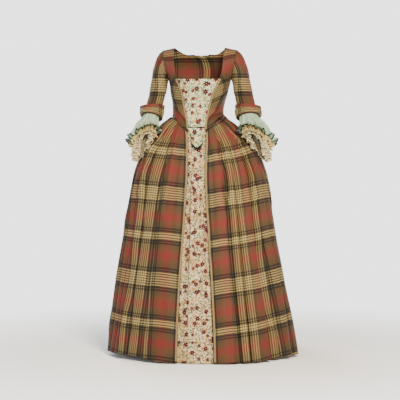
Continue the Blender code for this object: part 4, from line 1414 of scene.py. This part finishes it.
# Sleeve ruffles: short over the forearm and long behind the elbow, gathered into deep waves
ruffles = {
    "thickness": 0.0006,
    "flutes": 13,
    "fluteDepth": 0.0085,
    "columns": 265,
    "waves": 11,
    "waveAtRing": 0.0012,
    "waveAtEnd": 0.0125,
    "fullLength": 0.215,
    "longAt": -38.0,
    "tuck": 0.007,
    "fall": 0.92,
    "leanFront": 0.17,
    "lean": {"left": 0.95, "right": 1.15},
    # how it leans outwards all round, small lobes in its edge
    "leanOut": 0.31,
    "lobes": 33,
    # how far inside the sleeve's end and the tier over it, short and long side, spread outwards and to
    # the front, scallops in the edge and their depth, how far the edge curls out, rows
    "tiers": {
        "silk": (0.0020, 0.0, 0.055, 0.145, 0.22, 0.17, 26, 0.0125, 0.011, 40),
        "laceUpper": (0.0043, 0.0045, 0.078, 0.165, 0.10, 0.12, 44, 0.0085, 0.004, 38),
        "laceLower": (0.0068, 0.0085, 0.092, 0.215, 0.00, 0.08, 40, 0.0095, 0.002, 44),
    },
    # the height and the number around of the small waves, and of those below the tier over it
    "small": ((0.0022, 23), (0.0016, 37)),
    "crinkle": ((0.0042, 29), (0.0030, 47)),
}
ruffleFinish = {
    "silk": (mintTaffeta, "silk", "ruffle_silk"),
    "laceUpper": (goldLace, "lace", "ruffle_lace_upper"),
    "laceLower": (paleLace, "lace", "ruffle_lace_lower"),
}


def ruffleReach(tier, turn):
    short, longest = ruffles["tiers"][tier][2:4]
    towardsLong = (1 + np.cos(np.radians(turn - ruffles["longAt"]))) / 2
    return short + (longest - short) * towardsLong**1.2


def rufflePoints(side, tier, outerTier):
    inside, clear, *lengths = ruffles["tiers"][tier]
    spreadOut, spreadFront, scallops, scallopDepth, curlOut, rows = lengths[2:]
    turn = np.linspace(0, 360, ruffles["columns"])[None, :]
    around = np.radians(turn)
    scallop = 0.8 * np.abs(np.sin(around * scallops / 2)) ** 0.7
    scallop = scallop + 0.2 * np.abs(np.sin(around * ruffles["lobes"]))
    length = ruffleReach(tier, turn) - scallopDepth * (1 - scallop)
    share = np.linspace(0, 1, rows)[:, None]
    way = -ruffles["tuck"] + (length + ruffles["tuck"]) * share
    fallen = np.maximum(way, 0.0)
    end, before = (sleeveRing(side, np.array(float(ring))) for ring in (lastRing, lastRing - 1))
    radial = unit(ringPoint(end, turn) - end[0])
    backUp = unit(ringPoint(before, turn) - ringPoint(end, turn))
    start = ringPoint(end, turn) + backUp * np.maximum(-way, 0.0)[..., None]
    start = start - radial * (sleeve["thickness"] + inside)
    outward = (ruffles["leanOut"] + spreadOut * np.cos(around)) * ruffles["lean"][side] * (1 - 0.8 * fallen)
    forward = ruffles["leanFront"] + spreadFront * np.sin(around)
    heading = np.stack(np.broadcast_arrays(outward, -forward, -ruffles["fall"]), axis=-1)
    size = ruffles["waveAtEnd"] - ruffles["waveAtRing"]
    size = ruffles["waveAtRing"] + size * (fallen / ruffles["fullLength"]) ** 0.8
    alongIt = (radial * heading).sum(-1) / (heading * heading).sum(-1)
    lineOut = unit(radial - heading * alongIt[..., None])
    phase = 0.35 * np.sin(2 * around + 1.0) * ease(fallen / 0.03)
    wave = size * np.cos(ruffles["waves"] * around + phase) - 0.6 * ruffles["waveAtRing"]
    (first, firstWaves), (second, secondWaves) = ruffles["small"]
    small = first * np.cos(firstWaves * around + 4.0 * np.sin(around))
    small = small + second * np.cos(secondWaves * around + 9 * fallen / 0.1)
    wave = wave + small * ease((fallen - 0.006) / 0.05)
    uneven = 0.8 + 0.3 * np.sin(2 * around + 1.0) + 0.2 * np.sin(5 * around)
    # the flutes are shallow by the skirt, where they have little room
    uneven = uneven * (0.30 + 0.35 * (1 + np.cos(around)))
    flute = np.cos(ruffles["flutes"] * around + 0.8 * np.sin(3 * around))
    wave = wave + ruffles["fluteDepth"] * uneven * flute * ease((fallen - 0.003) / 0.05)
    curl = curlOut * np.clip(1 - (length - way) / 0.024, 0, 1) ** 2
    wave = wave + curl * (0.7 + 0.5 * flute) - clear * ease((fallen - 0.002) / 0.035)
    free = fallen - (ruffleReach(outerTier, turn) if outerTier else 0.03)
    (first, firstWaves), (second, secondWaves) = ruffles["crinkle"]
    crinkle = first * np.cos(firstWaves * around + 3.0 * np.cos(2 * around))
    crinkle = crinkle + second * np.cos(secondWaves * around - 2.0)
    wave = wave + crinkle * ease(free / 0.025)
    return start + heading * fallen[..., None] + lineOut * wave[..., None], length - way


for side, sign in sides:
    outerTier = None
    for tier in ruffles["tiers"]:
        points, fromEdge = rufflePoints(side, tier, outerTier)
        finish, slot, node = ruffleFinish[tier]
        name = "ruffle" + tier[0].upper() + tier[1:] + side.title()
        sheet = (mirrorTo(points, sign), arcAcross(points)[-1:], fromEdge)
        look = (ruffles["thickness"], finish, slot)
        clothPiece(name, sheet, *look, f"{node}_{side}", closed=True)
        outerTier = tier
print("ruffles made")
# Floor, light and camera
floorRadius = 2.4
bm = bmesh.new()
bmesh.ops.create_circle(bm, cap_ends=True, segments=96, radius=floorRadius)
bmesh.ops.translate(bm, verts=bm.verts, vec=(0, 0, -figure["shoulderHeight"] - 0.001))
mesh = bpy.data.meshes.new("floor")
bm.to_mesh(mesh)
bm.free()
floor = bpy.data.objects.new("floor", mesh)
bpy.context.scene.collection.objects.link(floor)
paper, tree = newMaterial("paperFloor", 0.9, 0.0, plain="#f4f4f2")
place = addNode(tree, "TexCoord").outputs["Object"]
flatPlace = vectorMaths(tree, "MULTIPLY", place, (1.0, 1.0, 0.0))
fromMiddle = addNode(tree, "VectorMath", {0: flatPlace}, operation="LENGTH").outputs["Value"]
inputs = {0: fromMiddle, 1: 0.6, 2: floorRadius, 3: 1.0, 4: 0.0}
shown = addNode(tree, "MapRange", inputs, interpolation_type="SMOOTHSTEP").outputs[0]
seeThrough = addNode(tree, "BsdfTransparent").outputs[0]
solid = tree.nodes["Principled BSDF"].outputs[0]
faded = addNode(tree, "MixShader", {0: shown, 1: seeThrough, 2: solid}).outputs[0]
tree.links.new(faded, tree.nodes["Material Output"].inputs["Surface"])
mesh.materials.append(paper)

world = bpy.data.worlds.new("studio")
bpy.context.scene.world = world
world.use_nodes = True
# The studio's walls are bright to 10 degrees above the horizon, and its ceiling is dim
sky = world.node_tree
upwards = partsOf(sky, addNode(sky, "TexCoord").outputs["Generated"])[2]
glow = remapped(sky, upwards, 0.17, 0.38, 2.8, 0.45)
sky.links.new(glow, sky.nodes["Background"].inputs["Strength"])
sky.nodes["Background"].inputs["Color"].default_value = (1.0, 1.0, 1.0, 1.0)

# Soft boxes: where each stands, its size, its power and its colour
softBoxes = {
    "key": ((1.5, -4.5, 1.9), 1.2, 690.0, "#ffeed8"),
    "fill": ((-3.6, -4.0, 0.6), 2.6, 40.0, "#eef3ff"),
    "back": ((-2.4, 4.2, 1.6), 1.8, 260.0, "#ffffff"),
}
aim = Vector((0, 0, -0.75))
for name, (place, size, power, tint) in softBoxes.items():
    lamp = bpy.data.lights.new(name, "AREA")
    lamp.size = size
    lamp.energy = power
    lamp.color = colour(tint)[:3]
    holder = bpy.data.objects.new(name, lamp)
    holder.location = place
    towards = aim - Vector(place)
    holder.rotation_euler = towards.to_track_quat("-Z", "Y").to_euler()
    bpy.context.scene.collection.objects.link(holder)

view = {"distance": 7.0, "azimuth": 5.0, "height": 0.95, "tilt": 1.94, "lens": 134.2}
turn, tilt = math.radians(view["azimuth"]), math.radians(view["tilt"])
camera = bpy.data.objects.new("camera", bpy.data.cameras.new("camera"))
camera.data.lens = view["lens"]
camera.data.sensor_width = 36.0
camera.location = (
    view["distance"] * math.sin(turn),
    -view["distance"] * math.cos(turn),
    view["height"] - figure["shoulderHeight"],
)
level = math.cos(tilt)
away = Vector((math.sin(turn) * level, -math.cos(turn) * level, math.sin(tilt)))
camera.rotation_euler = (-away).to_track_quat("-Z", "Y").to_euler()
bpy.context.scene.collection.objects.link(camera)
bpy.context.scene.camera = camera

print("scene made")
